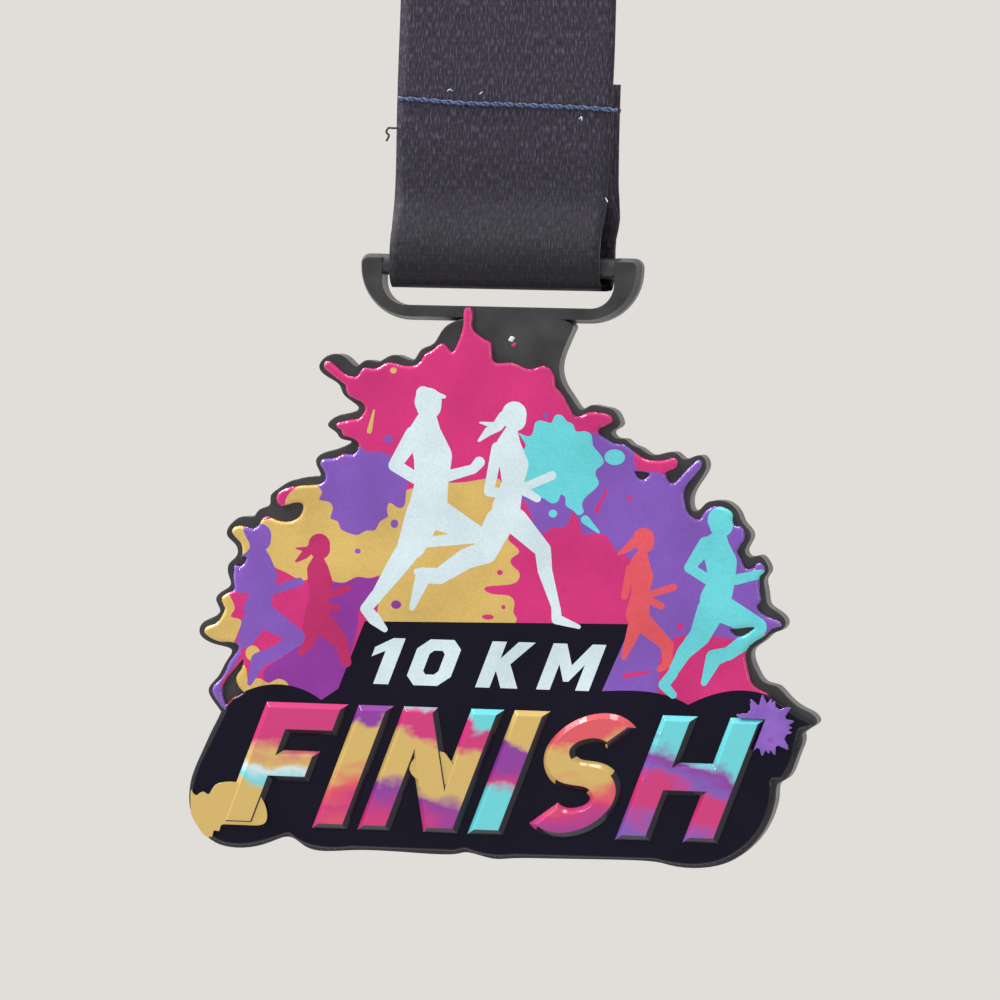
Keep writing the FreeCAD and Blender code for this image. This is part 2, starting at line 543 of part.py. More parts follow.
OCHRE_MAIN = [
    (-24.0, -26.8), (-20.2, -25.4), (-16.0, -26.6), (-12.0, -26.6), (-9.0, -25.8), (-6.0, -25.2),
    (-3.0, -25.0), (0.8, -24.6), (1.2, -26.0), (2.6, -27.6), (3.8, -28.8), (3.0, -30.2),
    (2.0, -31.4), (2.7, -32.2), (3.3, -33.0), (2.4, -33.8), (2.6, -34.6), (3.4, -35.4),
    (3.1, -36.4), (1.0, -36.9), (-0.7, -37.3), (0.2, -37.9), (2.3, -38.1), (2.9, -39.0),
    (2.8, -40.0), (3.2, -40.8), (1.5, -42.0), (-6.0, -42.4), (-12.6, -42.2), (-13.3, -40.4),
    (-12.7, -38.2), (-11.6, -36.4), (-12.6, -36.0), (-14.3, -36.5), (-15.8, -36.4),
    (-17.0, -37.0), (-18.2, -37.1), (-19.3, -36.6), (-20.4, -36.0), (-21.8, -36.9),
    (-23.0, -36.8), (-24.4, -36.1), (-25.8, -35.5), (-27.0, -34.2), (-26.5, -33.0),
    (-26.5, -31.7), (-28.0, -30.4), (-25.0, -29.4),
]
PURPLE_LEFT_EDGE = [
    (-30.5, -30.6), (-28.4, -30.6), (-26.9, -31.0), (-26.4, -32.3), (-26.8, -33.7),
    (-26.5, -35.0), (-25.9, -36.4), (-26.8, -38.0), (-28.5, -38.6), (-30.6, -38.5),
    (-31.8, -37.0), (-31.4, -35.2), (-29.6, -34.1), (-28.8, -33.3), (-29.2, -32.5),
    (-29.7, -31.6),
]
OCHRE_LOBES = [
    [(-31.8, -30.4), (-29.8, -30.7), (-29.3, -31.9), (-28.7, -33.1), (-29.2, -34.0),
     (-30.6, -34.4), (-32.0, -32.2)],
    [(-35.0, -42.8), (-33.0, -41.6), (-32.6, -39.8), (-31.3, -38.8), (-30.7, -39.6),
     (-30.4, -40.6), (-30.8, -41.5), (-29.7, -41.8), (-29.7, -42.8), (-30.1, -43.8),
     (-30.6, -44.8), (-33.0, -45.2)],
    [(-30.3, -48.9), (-29.5, -47.1), (-28.9, -47.4), (-28.5, -49.1), (-27.4, -48.6),
     (-26.2, -49.1), (-24.9, -48.6), (-23.7, -49.5), (-26.5, -51.0), (-29.6, -50.9)],
]
PLUM_AREA = [
    (-19.3, -37.3), (-18.0, -37.1), (-16.7, -36.8), (-15.2, -36.4), (-13.2, -36.5),
    (-13.9, -38.2), (-15.4, -40.0), (-15.6, -42.0), (-16.4, -45.5), (-17.6, -49.2),
    (-19.8, -51.5), (-22.8, -50.2), (-25.6, -49.5), (-26.8, -48.1), (-25.4, -46.6),
    (-23.5, -45.2), (-22.4, -43.2), (-21.1, -41.7), (-19.8, -40.8), (-19.8, -39.5),
]
PURPLE_SPIKE = [
    (-29.3, -44.8), (-29.8, -46.3), (-30.8, -47.9), (-31.8, -49.6), (-31.2, -52.4),
    (-33.6, -51.6), (-34.0, -49.4), (-31.8, -46.9), (-31.0, -45.0),
]
PURPLE_RIGHT = [
    (3.4, -26.8), (4.6, -28.6), (5.4, -30.4), (6.4, -30.6), (7.2, -30.0), (8.8, -29.8),
    (9.5, -28.2), (10.4, -29.6), (10.9, -30.7), (12.2, -30.6), (13.6, -30.9), (14.6, -32.3),
    (16.0, -33.1), (17.0, -35.0), (17.6, -38.0), (16.6, -41.4), (13.6, -48.6), (16.0, -50.5),
    (19.6, -49.4), (20.0, -46.0), (20.8, -43.2), (22.6, -42.0), (24.8, -42.1), (26.6, -42.0),
    (28.9, -42.2), (31.2, -41.4), (35.2, -41.6), (36.0, -38.0), (33.6, -33.0), (30.0, -27.0),
    (25.8, -25.6), (26.0, -20.4), (23.6, -20.6), (21.4, -23.8), (19.4, -23.3), (16.9, -23.0),
    (16.4, -20.6), (14.6, -19.8), (11.6, -19.0), (8.0, -21.0), (4.4, -24.4),
]


# Small drops: colour, centre, and half the width and height.
DROPS = [
    ("cyan", (14.3, -21.7), 1.2, 0.9), ("cyan", (7.2, -28.4), 0.5, 0.45),
    ("pink", (16.2, -26.4), 0.3, 0.3), ("pink", (22.4, -41.0), 0.4, 0.4),
    ("ochre", (-12.0, -12.3), 0.4, 0.35), ("ochre", (-28.1, -45.7), 0.85, 0.9),
    ("purple", (-12.4, -20.3), 0.5, 0.45), ("purple", (6.1, -17.1), 0.35, 0.35),
    ("purple", (-11.5, -30.1), 0.45, 0.5), ("purple", (-15.8, -33.4), 0.35, 0.3),
    ("plum", (-11.1, -39.5), 0.6, 0.5), ("pink", (1.6, -39.4), 0.25, 0.25),
    ("pink", (1.1, -35.4), 0.35, 0.3), ("pink", (-0.2, -40.6), 0.7, 0.3),
]
# Small streaks: colour, the two ends, and half the width at each.
STREAKS = [
    ("cyan", (11.0, -29.0), (12.6, -30.4), 0.5, 0.15), ("pink", (12.3, -28.0), (13.5, -25.4), 0.25, 0.12),
    ("pink", (16.1, -46.9), (18.9, -46.3), 0.3, 0.15),
    ("ochre", (-14.7, -19.4), (-14.2, -17.0), 0.3, 0.12),
]

# Runners, drawn the way a running pictogram is: a head, then limbs as (spots, half widths).
RUNNERS = {
    "runner_white_left": [
        ([(-7.8, -15.8), (-7.7, -16.4)], [1.6, 1.45]),
        ([(-8.4, -14.9), (-5.9, -15.2)], [0.85, 0.2]),
        ([(-7.8, -17.2), (-8.1, -19.6), (-7.1, -22.2), (-7.2, -25.4), (-7.6, -28.4)],
         [0.9, 1.9, 2.25, 1.95, 2.3]),
        ([(-9.4, -19.8), (-11.6, -23.3), (-8.8, -24.9)], [1.1, 0.75, 0.7]),
        ([(-5.3, -24.4), (-2.3, -23.5), (-1.6, -22.7)], [0.65, 0.55, 0.65]),
        ([(-7.0, -28.6), (-1.5, -31.1)], [1.9, 0.95]),
        ([(-1.5, -31.3), (-8.0, -32.2)], [0.75, 0.6]),
        ([(-8.0, -28.8), (-9.4, -32.5)], [2.1, 1.65]),
        ([(-9.4, -32.5), (-11.2, -35.2), (-13.4, -38.5)], [1.45, 1.2, 0.7]),
        ([(-13.5, -38.6), (-14.7, -40.1), (-13.7, -41.2), (-12.4, -42.4)], [0.75, 0.65, 0.75, 0.35]),
    ],
    "runner_white_right": [
        ([(2.4, -17.0), (2.5, -17.7)], [1.45, 1.3]),
        ([(1.2, -17.4), (0.5, -18.4), (-0.6, -19.1), (-1.7, -20.2)], [0.7, 0.65, 0.5, 0.15]),
        ([(0.2, -18.4), (-1.6, -18.1)], [0.4, 0.1]),
        ([(2.1, -19.0), (1.8, -20.75), (2.5, -22.9), (2.4, -25.0), (1.7, -27.8)],
         [0.75, 1.45, 1.7, 1.25, 1.65]),
        ([(0.5, -21.0), (-0.4, -26.0), (1.4, -26.3)], [0.7, 0.6, 0.55]),
        ([(3.9, -25.4), (7.0, -24.0)], [0.5, 0.5]),
        ([(3.6, -25.8), (5.3, -26.7)], [0.55, 0.45]),
        ([(2.8, -29.4), (6.1, -32.6), (6.4, -35.0), (7.8, -39.3)], [1.5, 0.95, 0.85, 0.5]),
        ([(7.8, -39.4), (7.9, -40.6), (10.5, -41.4)], [0.55, 0.6, 0.25]),
        ([(0.9, -29.6), (-0.7, -33.0)], [1.7, 1.45]),
        ([(-0.9, -33.2), (-2.9, -33.9), (-6.0, -36.0), (-7.6, -36.0)], [1.3, 1.2, 0.95, 0.9]),
        ([(-7.9, -36.0), (-9.2, -39.8)], [0.95, 0.35]),
        ([(-7.6, -35.9), (-8.7, -35.6)], [0.6, 0.4]),
    ],
    "runner_cyan": [
        ([(26.8, -28.6), (26.9, -29.2)], [1.5, 1.35]),
        ([(26.8, -30.3), (26.3, -31.8), (27.0, -33.5), (27.1, -35.8), (26.4, -37.8)],
         [0.7, 1.6, 1.8, 1.5, 1.8]),
        ([(25.2, -31.5), (23.3, -34.2), (25.5, -35.5)], [0.95, 0.6, 0.6]),
        ([(28.8, -35.4), (31.6, -34.7)], [0.6, 0.55]),
        ([(27.0, -38.7), (31.3, -40.8)], [1.6, 1.15]),
        ([(31.2, -41.6), (28.0, -44.0)], [1.0, 0.75]),
        ([(27.8, -44.0), (26.4, -44.5), (25.3, -47.4)], [0.75, 0.95, 0.35]),
        ([(25.9, -39.1), (24.7, -42.0), (22.9, -44.0), (21.6, -46.4)], [1.6, 1.2, 0.85, 0.55]),
        ([(21.6, -46.5), (20.6, -47.8), (21.7, -48.9)], [0.6, 0.6, 0.45]),
    ],
    "runner_coral": [
        ([(17.9, -31.0), (18.0, -31.5)], [1.25, 1.1]),
        ([(16.8, -31.4), (16.2, -32.0), (15.0, -32.9)], [0.5, 0.5, 0.15]),
        ([(17.8, -32.6), (17.5, -34.0), (17.8, -35.4), (17.6, -37.4), (17.4, -39.8)],
         [0.55, 1.15, 1.3, 1.0, 1.4]),
        ([(16.4, -34.5), (15.8, -37.7)], [0.5, 0.4]),
        ([(18.8, -37.4), (21.5, -36.5)], [0.4, 0.4]),
        ([(18.6, -38.0), (20.1, -38.7)], [0.45, 0.4]),
        ([(18.3, -40.9), (20.9, -43.2), (21.0, -45.3), (20.1, -46.0)], [1.1, 0.75, 0.55, 0.35]),
        ([(17.2, -41.0), (15.9, -44.7)], [0.9, 0.35]),
    ],
    "runner_purple": [
        ([(-27.5, -31.9), (-27.4, -32.5)], [1.35, 1.2]),
        ([(-27.6, -33.8), (-27.6, -35.0), (-27.0, -36.6), (-27.1, -38.5), (-27.7, -40.5)],
         [0.8, 1.5, 1.65, 1.35, 1.6]),
        ([(-25.6, -38.2), (-22.7, -37.2)], [0.5, 0.5]),
        ([(-29.2, -35.8), (-29.6, -37.4), (-28.1, -38.5)], [0.7, 0.5, 0.45]),
        ([(-26.8, -41.3), (-22.8, -43.6)], [1.5, 0.9]),
        ([(-22.8, -43.8), (-25.4, -45.6)], [0.85, 0.8]),
        ([(-25.6, -45.7), (-27.4, -46.5), (-28.4, -49.2)], [0.8, 0.9, 0.3]),
        ([(-28.1, -42.2), (-29.0, -44.1)], [1.4, 0.95]),
    ],
    "runner_pink": [
        ([(-20.4, -32.8), (-20.3, -33.3)], [1.3, 1.2]),
        ([(-21.4, -33.3), (-22.1, -34.0), (-23.1, -34.8)], [0.55, 0.5, 0.15]),
        ([(-21.8, -33.4), (-23.1, -33.3)], [0.35, 0.1]),
        ([(-20.5, -34.5), (-20.5, -35.8), (-20.2, -37.1), (-20.3, -39.2), (-20.5, -41.2)],
         [0.65, 1.3, 1.45, 1.1, 1.55]),
        ([(-19.0, -38.6), (-16.8, -37.7)], [0.45, 0.4]),
        ([(-19.4, -40.0), (-18.1, -40.1)], [0.5, 0.4]),
        ([(-19.6, -42.0), (-17.5, -44.2), (-16.9, -46.4)], [1.3, 0.85, 0.6]),
        ([(-21.0, -42.4), (-21.6, -44.4), (-22.3, -45.4)], [1.2, 0.7, 0.4]),
    ],
}

# Pale slanted figures on the banner: outlines of (x, height), upright here.
BANNER_LEFT, BANNER_BELOW = -14.0, 49.2
BANNER_FIGURES = [
    [(0.2, 0.4), (2.0, 0.4), (2.0, 5.8), (0.6, 5.8), (-1.2, 4.7), (-1.2, 3.6), (0.2, 4.3)],
    [(5.0, 0.4), (7.8, 0.4), (9.0, 1.5), (9.0, 4.7), (7.8, 5.8), (5.0, 5.8), (3.8, 4.7),
     (3.8, 1.5)],
    [(12.3, 0.4), (14.0, 0.4), (14.0, 2.4), (15.3, 0.4), (17.3, 0.4), (15.4, 3.2), (17.4, 5.8),
     (15.4, 5.8), (14.0, 3.8), (14.0, 5.8), (12.3, 5.8)],
    [(19.5, 0.4), (21.1, 0.4), (21.1, 3.4), (22.3, 1.4), (22.9, 1.4), (24.1, 3.4), (24.1, 0.4),
     (25.7, 0.4), (25.7, 5.8), (24.1, 5.8), (22.6, 3.3), (21.1, 5.8), (19.5, 5.8)],
]
BANNER_HOLE = [(5.9, 1.7), (6.9, 1.7), (7.3, 2.1), (7.3, 4.1), (6.9, 4.5), (5.9, 4.5),
               (5.5, 4.1), (5.5, 2.1)]
SPRAY_CENTRE, SPRAY_SPIKES = (32.6, -52.2), 22


def oval(centre, half_wide, half_high):
    spots = []
    for step in range(8):
        angle = step * math.pi / 4
        spots.append((centre[0] + half_wide * math.cos(angle), centre[1] + half_high * math.sin(angle)))
    return blob(spots)


def spray():
    """A round drop with a fringe of short spikes of uneven length."""
    faces = [disc(*SPRAY_CENTRE, 2.6)]
    for spike in range(SPRAY_SPIKES):
        angle = spike * 2 * math.pi / SPRAY_SPIKES + 0.12 * math.sin(spike * 3.7)
        reach = 3.0 + 0.6 * math.sin(spike * 2.4) ** 2
        tip = (SPRAY_CENTRE[0] + reach * math.cos(angle), SPRAY_CENTRE[1] + reach * math.sin(angle))
        faces.append(capsule(SPRAY_CENTRE, tip, 1.3, 0.1))
    return merged(faces)


def straight_panel(corners):
    return panel([list(side) for side in zip(corners, corners[1:] + corners[:1])])


def banner_figures():
    """One face for each figure; the round one has a hole through it."""
    faces = []
    for outline in [*BANNER_FIGURES, BANNER_HOLE]:
        faces.append(straight_panel([(BANNER_LEFT + x, z - BANNER_BELOW)
                                     for x, z in slanted(outline)]))
    hole = faces.pop()
    return [face.cut(hole) if number == 1 else face for number, face in enumerate(faces)]


def runner(limbs):
    faces = []
    for spots, radii in limbs:
        faces += chain(spots, radii)
    return merged(faces)


def small_marks(colour):
    marks = [oval(*mark[1:]) for mark in DROPS if mark[0] == colour]
    return marks + [capsule(*mark[1:]) for mark in STREAKS if mark[0] == colour]


def divide(faces, tools):
    """Splits flat faces into what lies inside the tools and what lies outside them."""
    inside = []
    for tool in tools:
        outside = []
        for face in faces:
            common = face.common(tool).Faces if face.BoundBox.intersect(tool.BoundBox) else []
            inside += common
            outside += face.cut(tool).Faces if common else [face]
        faces = outside
    return inside, faces


def make_print(splash, title, last_letter):
    """The picture on the relief: thin areas of colour side by side, none over another.
    last_letter is the place of the H, which stands over the edge of the spray."""
    splash_left, title_left = splash.Faces, title.Faces
    for name, limbs in RUNNERS.items():
        figure = runner(limbs)
        on_splash, splash_left = divide(splash_left, [figure])
        on_title, title_left = divide(title_left, [figure])
        keep(flat_part(name.title().replace("_", ""), Part.makeCompound(on_splash + on_title),
                       "relief_rise"), name)
    areas = [(colour, small_marks(colour)) for colour in ("cyan", "pink", "purple", "ochre", "plum")]
    areas += [
        ("cyan", [blob(CYAN_AREA)]),
        ("purple", [blob(PURPLE_UPPER_LEFT), blob(PURPLE_SPIKE)]),
        ("ochre", [blob(OCHRE_MAIN)] + [blob(lobe) for lobe in OCHRE_LOBES]),
        ("plum", [blob(PLUM_AREA)]),
        ("purple", [blob(PURPLE_LEFT_EDGE), blob(PURPLE_RIGHT)]),
    ]
    printed = {colour: [] for colour, _ in areas}
    for colour, tools in areas:
        taken, splash_left = divide(splash_left, tools)
        printed[colour] += taken
    printed["pink"] += splash_left
    for colour, faces in printed.items():
        keep(flat_part(f"Print{colour.title()}", Part.makeCompound(faces), "relief_rise"),
             f"print_{colour}")
    figures, _ = divide(title_left, banner_figures())
    keep(flat_part("BannerFigures", Part.makeCompound(figures), "relief_rise"), "banner_figures")
    corners = [(last_letter + x, z - size("letters_below")) for x, z in slanted(H_OUTLINE)]
    letter = straight_panel(corners)
    keep(flat_part("PaintSpray", spray().cut(letter), "relief_rise", "letter_rise * 0.8"),
         "paint_spray")


# ---------------------------------------------------------------- the ribbon


def ribbon_profile(name, spots_to_edges):
    """A stretch of ribbon: a closed outline of edges in the YZ plane, as wide as the ribbon."""
    wide = size("ribbon_width")
    feature = doc.addObject("Part::Feature", name)
    faces = [Part.Face(Part.Wire(Part.__sortEdges__(edges))) for edges in spots_to_edges]
    outer = faces[0].cut(faces[1:]) if len(faces) > 1 else faces[0]
    outer.translate(Vector(-wide / 2, 0, 0))
    feature.Shape = outer.extrude(Vector(wide, 0, 0))
    return feature


def outline(spots):
    """Straight edges through (y, z) spots, closed.  A third number in a spot turns the edge from
    the spot before into a half circle that bulges up (1) or down (-1)."""
    edges = []
    for near, far in zip(spots, spots[1:] + spots[:1]):
        start, end = Vector(0, *near[:2]), Vector(0, *far[:2])
        if len(far) == 3:
            middle = (start + end) / 2
            bulge = Vector(0, 0, far[2] * start.distanceToPoint(end) / 2)
            edges.append(Part.Arc(start, middle + bulge, end).toShape())
        else:
            edges.append(Part.LineSegment(start, end).toShape())
    return edges


def make_bar_loop():
    """Both ends of the ribbon go down in front of the bar, under it and up behind the strand."""
    clear, double = size("loop_clear"), 2 * size("ply")
    straight, join = size("loop_straight"), size("join_above")
    far = clear + double
    outside = outline([(-double, join), (-far, straight), (-far, 0), (far, 0, -1), (far, straight),
                       (double, join)])
    inside = outline([(0, join - 0.6), (-clear, straight), (-clear, 0), (clear, 0, -1),
                      (clear, straight)])
    loop = ribbon_profile("BarLoop", [outside, inside])
    bind_place(loop, y="-strand_forward", z=BAR)
    keep(loop, "ribbon_bar_loop")


def ribbon_box(name, behind, lowest, highest):
    """A flat double run of ribbon.  behind is its front face's place on Y."""
    box = doc.addObject("Part::Box", name)
    for field, formula in (("Length", "ribbon_width"), ("Width", "2 * ply"),
                           ("Height", f"({highest}) - ({lowest})")):
        bind(box, field, formula)
    bind_place(box, x="-ribbon_width / 2", y=behind, z=lowest)
    return box


def make_strand():
    strand = ribbon_box("Strand", "-strand_forward - 2 * ply", "join_above - bar_drop", "-hank_top")
    keep(strand, "ribbon_strand")
    tails = ribbon_box("Tails", "-strand_forward", "join_above - bar_drop",
                       "tail_above - bar_drop")
    keep(tails, "ribbon_tails")


def make_peg_loop():
    """The strand's turn over the peg and down behind it."""
    near, far = size("strand_forward"), size("strand_forward") + 2 * size("ply")
    low = -size("hank_top")
    loop = ribbon_profile("PegLoop", [outline([
        (-far, low), (-far, 0), (far, 0, 1), (far, low), (near, low), (near, 0), (-near, 0, 1),
        (-near, low)])])
    keep(loop, "ribbon_peg_loop")


def make_hank():
    """The rest of the ribbon in flat zigzag runs behind the strand."""
    double, pitch = 2 * size("ply"), size("hank_pitch")
    top, bottom = -size("hank_top"), -size("hank_bottom")
    back = size("strand_forward") + double
    faces = []
    for layer in range(int(size("hank_layers"))):
        rear = back - layer * pitch
        front = rear - double
        faces.append(Part.Face(Part.Wire(outline(
            [(front, bottom), (rear, bottom), (rear, top), (front, top)]))))
        if layer:
            level, side = (bottom, -1) if layer % 2 else (top, 1)
            beyond = rear + pitch
            fold = Part.Face(Part.Wire(outline([(front, level), (beyond, level, side)])))
            crease = Part.Face(Part.Wire(outline([(rear, level), (beyond - double, level, side)])))
            faces.append(fold.cut(crease))
    wide = size("ribbon_width")
    runs = [face.extrude(Vector(wide, 0, 0)) for face in faces]
    hank = doc.addObject("Part::Feature", "Hank")
    hank.Shape = runs[0].multiFuse(runs[1:]).removeSplitter()
    bind_place(hank, x="-ribbon_width / 2")
    keep(hank, "ribbon_hank")


def make_tie():
    """A band round the hank and the strand in front of it."""
    body = doc.addObject("PartDesign::Body", "TieBody")
    band = new_sketch(body, "XY_Plane", "TieBand")
    deep = "strand_forward + 2 * ply + tie_slack"
    wide = "ribbon_width / 2 + tie_slack"
    rounded_rectangle(band, (wide, wide, deep, deep), ("tie_slack", "tie_slack"))
    doc.recompute()
    ring = pad(body, band, "TieRing", "2 * tie_half_high", Midplane=True)
    doc.recompute()
    thick = body.newObject("PartDesign::Thickness", "TieThickness")
    flat = [f"Face{number}" for number, face in enumerate(ring.Shape.Faces, start=1)
            if abs(face.normalAt(0, 0).z) > 0.9]
    thick.Base = (ring, flat)
    thick.Reversed = False
    bind(thick, "Value", "tie_thick")
    bind_place(body, z="-tie_centre")
    keep(body, "hank_tie")


LOOSE_END = [(-12.2, 15.8), (-12.9, 15.6), (-13.5, 15.2), (-13.7, 14.5)]


def make_threads():
    """The seam's thread in front of the strand and behind the tails, and one loose end."""
    bars = []
    for name, place in (("SeamFront", "-strand_forward - 2 * ply - seam_thick"),
                        ("SeamBack", "-strand_forward + 2 * ply")):
        stitch = doc.addObject("Part::Box", name)
        for field, formula in (("Length", "ribbon_width"), ("Width", "seam_thick"),
                               ("Height", "seam_high")):
            bind(stitch, field, formula)
        bind_place(stitch, x="-ribbon_width / 2", y=place,
                   z="seam_above - seam_high / 2 - bar_drop")
        bars.append(stitch)
    seam = doc.addObject("Part::Compound", "Seam")
    seam.Links = bars
    keep(seam, "seam_thread")
    loose = flat_part("LooseThread", merged(chain(LOOSE_END, [size("thread_radius")] * 4)),
                      "2 * ply - plate_depth / 2", "2 * thread_radius")
    keep(loose, "loose_thread")


make_casting()
splash_top, title_top = make_relief()
make_print(splash_top, title_top, make_letters())
make_bar_loop()
make_strand()
make_peg_loop()
make_hank()
make_tie()
make_threads()
doc.recompute()

for item in doc.Objects:
    if "Invalid" in item.State or "Error" in item.State:
        raise RuntimeError(f"{item.Name} did not recompute: {item.State}")
for part in PARTS:
    if part.Shape.isNull() or not part.Shape.isValid():
        raise RuntimeError(f"{part.Label} has no valid shape")

os.makedirs("parts", exist_ok=True)
for part in PARTS:
    part.Shape.exportStep(f"parts/{part.Label}.step")
    print(part.Label, len(part.Shape.Solids), "solids", round(part.Shape.Volume, 2), "mm3")
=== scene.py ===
import json
import math
import random

import bmesh
import bpy
from mathutils import Matrix, Quaternion, Vector
from mathutils.bvhtree import BVHTree
from mathutils.geometry import delaunay_2d_cdt
from mathutils.kdtree import KDTree


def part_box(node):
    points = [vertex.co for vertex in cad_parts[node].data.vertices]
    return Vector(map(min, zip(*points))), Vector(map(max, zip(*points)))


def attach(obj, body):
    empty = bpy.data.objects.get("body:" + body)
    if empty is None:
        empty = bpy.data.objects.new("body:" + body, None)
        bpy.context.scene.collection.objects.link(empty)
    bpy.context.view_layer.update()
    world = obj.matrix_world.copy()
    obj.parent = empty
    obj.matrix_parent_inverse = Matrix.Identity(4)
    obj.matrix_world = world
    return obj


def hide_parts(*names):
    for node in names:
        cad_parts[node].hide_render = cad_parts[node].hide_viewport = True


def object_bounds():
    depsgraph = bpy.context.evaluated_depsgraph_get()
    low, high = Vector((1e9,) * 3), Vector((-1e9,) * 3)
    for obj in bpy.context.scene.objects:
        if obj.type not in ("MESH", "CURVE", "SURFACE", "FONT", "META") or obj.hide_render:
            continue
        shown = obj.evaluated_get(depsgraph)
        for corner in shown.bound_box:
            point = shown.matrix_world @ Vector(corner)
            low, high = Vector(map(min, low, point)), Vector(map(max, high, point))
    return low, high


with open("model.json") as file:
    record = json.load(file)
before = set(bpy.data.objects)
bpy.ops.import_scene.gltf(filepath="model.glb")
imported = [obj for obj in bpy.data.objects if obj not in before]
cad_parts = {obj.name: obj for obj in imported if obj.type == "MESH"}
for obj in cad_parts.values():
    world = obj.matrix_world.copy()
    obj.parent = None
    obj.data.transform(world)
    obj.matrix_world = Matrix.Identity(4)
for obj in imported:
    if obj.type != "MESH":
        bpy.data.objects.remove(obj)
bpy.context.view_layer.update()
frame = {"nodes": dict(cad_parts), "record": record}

MM = 0.001
NODES = frame["nodes"]

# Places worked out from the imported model.
CASTING_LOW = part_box("medal_casting")[0]
SPLASH_LOW, SPLASH_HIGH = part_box("splash_relief")
STRAND_LOW, STRAND_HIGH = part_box("ribbon_strand")
HANK_LOW, HANK_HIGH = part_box("ribbon_hank")
TAILS_LOW, TAILS_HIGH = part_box("ribbon_tails")
LOOP_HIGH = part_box("ribbon_bar_loop")[1]
SEAM_LOW, SEAM_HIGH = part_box("seam_thread")
TIE_LOW, TIE_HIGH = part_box("hank_tie")
SWING = Vector(next(joint for joint in frame["record"]["behaviour"]["joints"])["pos_m"])

PLATE_FRONT = CASTING_LOW.y
RELIEF_FRONT = SPLASH_LOW.y


# ---------------------------------------------------------------- camera

CAMERA_AZIMUTH = math.radians(11.0)
CAMERA_ELEVATION = math.radians(2.0)
CAMERA_ROLL = math.radians(1.2)
CAMERA_LENS = 216.0
CAMERA_DISTANCE = 695.4 * MM
AIM = Vector((SWING.x + 0.78 * MM, PLATE_FRONT, SWING.z - 27.03 * MM))


def make_camera():
    back = Vector((math.sin(CAMERA_AZIMUTH) * math.cos(CAMERA_ELEVATION),
                   -math.cos(CAMERA_AZIMUTH) * math.cos(CAMERA_ELEVATION),
                   math.sin(CAMERA_ELEVATION)))
    data = bpy.data.cameras.new("camera")
    data.sensor_width = 36.0
    data.lens = CAMERA_LENS
    data.clip_start, data.clip_end = 0.01, 20.0
    camera = bpy.data.objects.new("camera", data)
    camera.rotation_mode = "QUATERNION"
    camera.location = AIM + back * CAMERA_DISTANCE
    turn = Quaternion(back, CAMERA_ROLL)
    camera.rotation_quaternion = turn @ (-back).to_track_quat("-Z", "Y")
    bpy.context.collection.objects.link(camera)
    bpy.context.scene.camera = camera


make_camera()


# ---------------------------------------------------------------- material nodes


class Shader:
    """A material and short ways to add its nodes."""

    def __init__(self, name, **values):
        self.material = bpy.data.materials.new(name)
        self.material.use_nodes = True
        self.tree = self.material.node_tree
        self.surface = self.tree.nodes["Principled BSDF"]
        for socket, value in values.items():
            self.set(self.surface, socket.replace("_", " "), value)

    def set(self, node, socket, value):
        if isinstance(value, bpy.types.NodeSocket):
            self.tree.links.new(value, node.inputs[socket])
        else:
            node.inputs[socket].default_value = value

    def add(self, kind, output=0, **values):
        node = self.tree.nodes.new(kind)
        for key, value in values.items():
            if hasattr(node, key) and key.islower():
                setattr(node, key, value)
            else:
                self.set(node, key.replace("_", " "), value)
        return node.outputs[output]

    def place(self):
        return self.add("ShaderNodeTexCoord", "Object")

    def scaled(self, x=1.0, y=1.0, z=1.0, tilt=0.0):
        mapping = self.tree.nodes.new("ShaderNodeMapping")
        self.set(mapping, "Vector", self.place())
        mapping.inputs["Scale"].default_value = (x, y, z)
        mapping.inputs["Rotation"].default_value = (0.0, tilt, 0.0)
        return mapping.outputs[0]

    def noise(self, scale, detail=3.0, where=None):
        return self.add("ShaderNodeTexNoise", "Fac", Scale=scale, Detail=detail,
                        Vector=where or self.place())

    def ramp(self, value, stops, smooth=False):
        node = self.tree.nodes.new("ShaderNodeValToRGB")
        node.color_ramp.interpolation = "EASE" if smooth else "LINEAR"
        self.tree.links.new(value, node.inputs[0])
        elements = node.color_ramp.elements
        while len(elements) < len(stops):
            elements.new(0.5)
        for element, (where, colour) in zip(elements, stops):
            element.position = where
            element.color = tuple(colour) + (1.0,) if len(colour) == 3 else colour
        return node.outputs[0]

    def range(self, value, low, high, to_low, to_high):
        node = self.tree.nodes.new("ShaderNodeMapRange")
        for socket, number in zip(range(1, 5), (low, high, to_low, to_high)):
            node.inputs[socket].default_value = number
        self.tree.links.new(value, node.inputs[0])
        return node.outputs[0]

    def maths(self, operation, first, second=0.0):
        node = self.tree.nodes.new("ShaderNodeMath")
        node.operation = operation
        self.set(node, 0, first)
        self.set(node, 1, second)
        return node.outputs[0]

    def mix(self, factor, first, second, blend="MIX"):
        node = self.tree.nodes.new("ShaderNodeMix")
        node.data_type, node.blend_type = "RGBA", blend
        self.set(node, 0, factor)
        self.set(node, 6, first)
        self.set(node, 7, second)
        return node.outputs[2]

    def bump(self, height, distance, strength=1.0, normal=None):
        node = self.tree.nodes.new("ShaderNodeBump")
        node.inputs["Strength"].default_value = strength
        node.inputs["Distance"].default_value = distance
        self.tree.links.new(height, node.inputs["Height"])
        if normal:
            self.tree.links.new(normal, node.inputs["Normal"])
        return node.outputs[0]

    def base(self, colour):
        self.set(self.surface, "Base Color", colour)

    def normal(self, socket):
        self.set(self.surface, "Normal", socket)
        return self


def linear(code):
    """A linear RGB colour from its usual six-figure code."""
    parts = [int(code[at:at + 2], 16) / 255 for at in (0, 2, 4)]
    return tuple(part / 12.92 if part < 0.04045 else ((part + 0.055) / 1.055) ** 2.4
                 for part in parts)


def opaque(colour):
    return (*colour, 1.0)


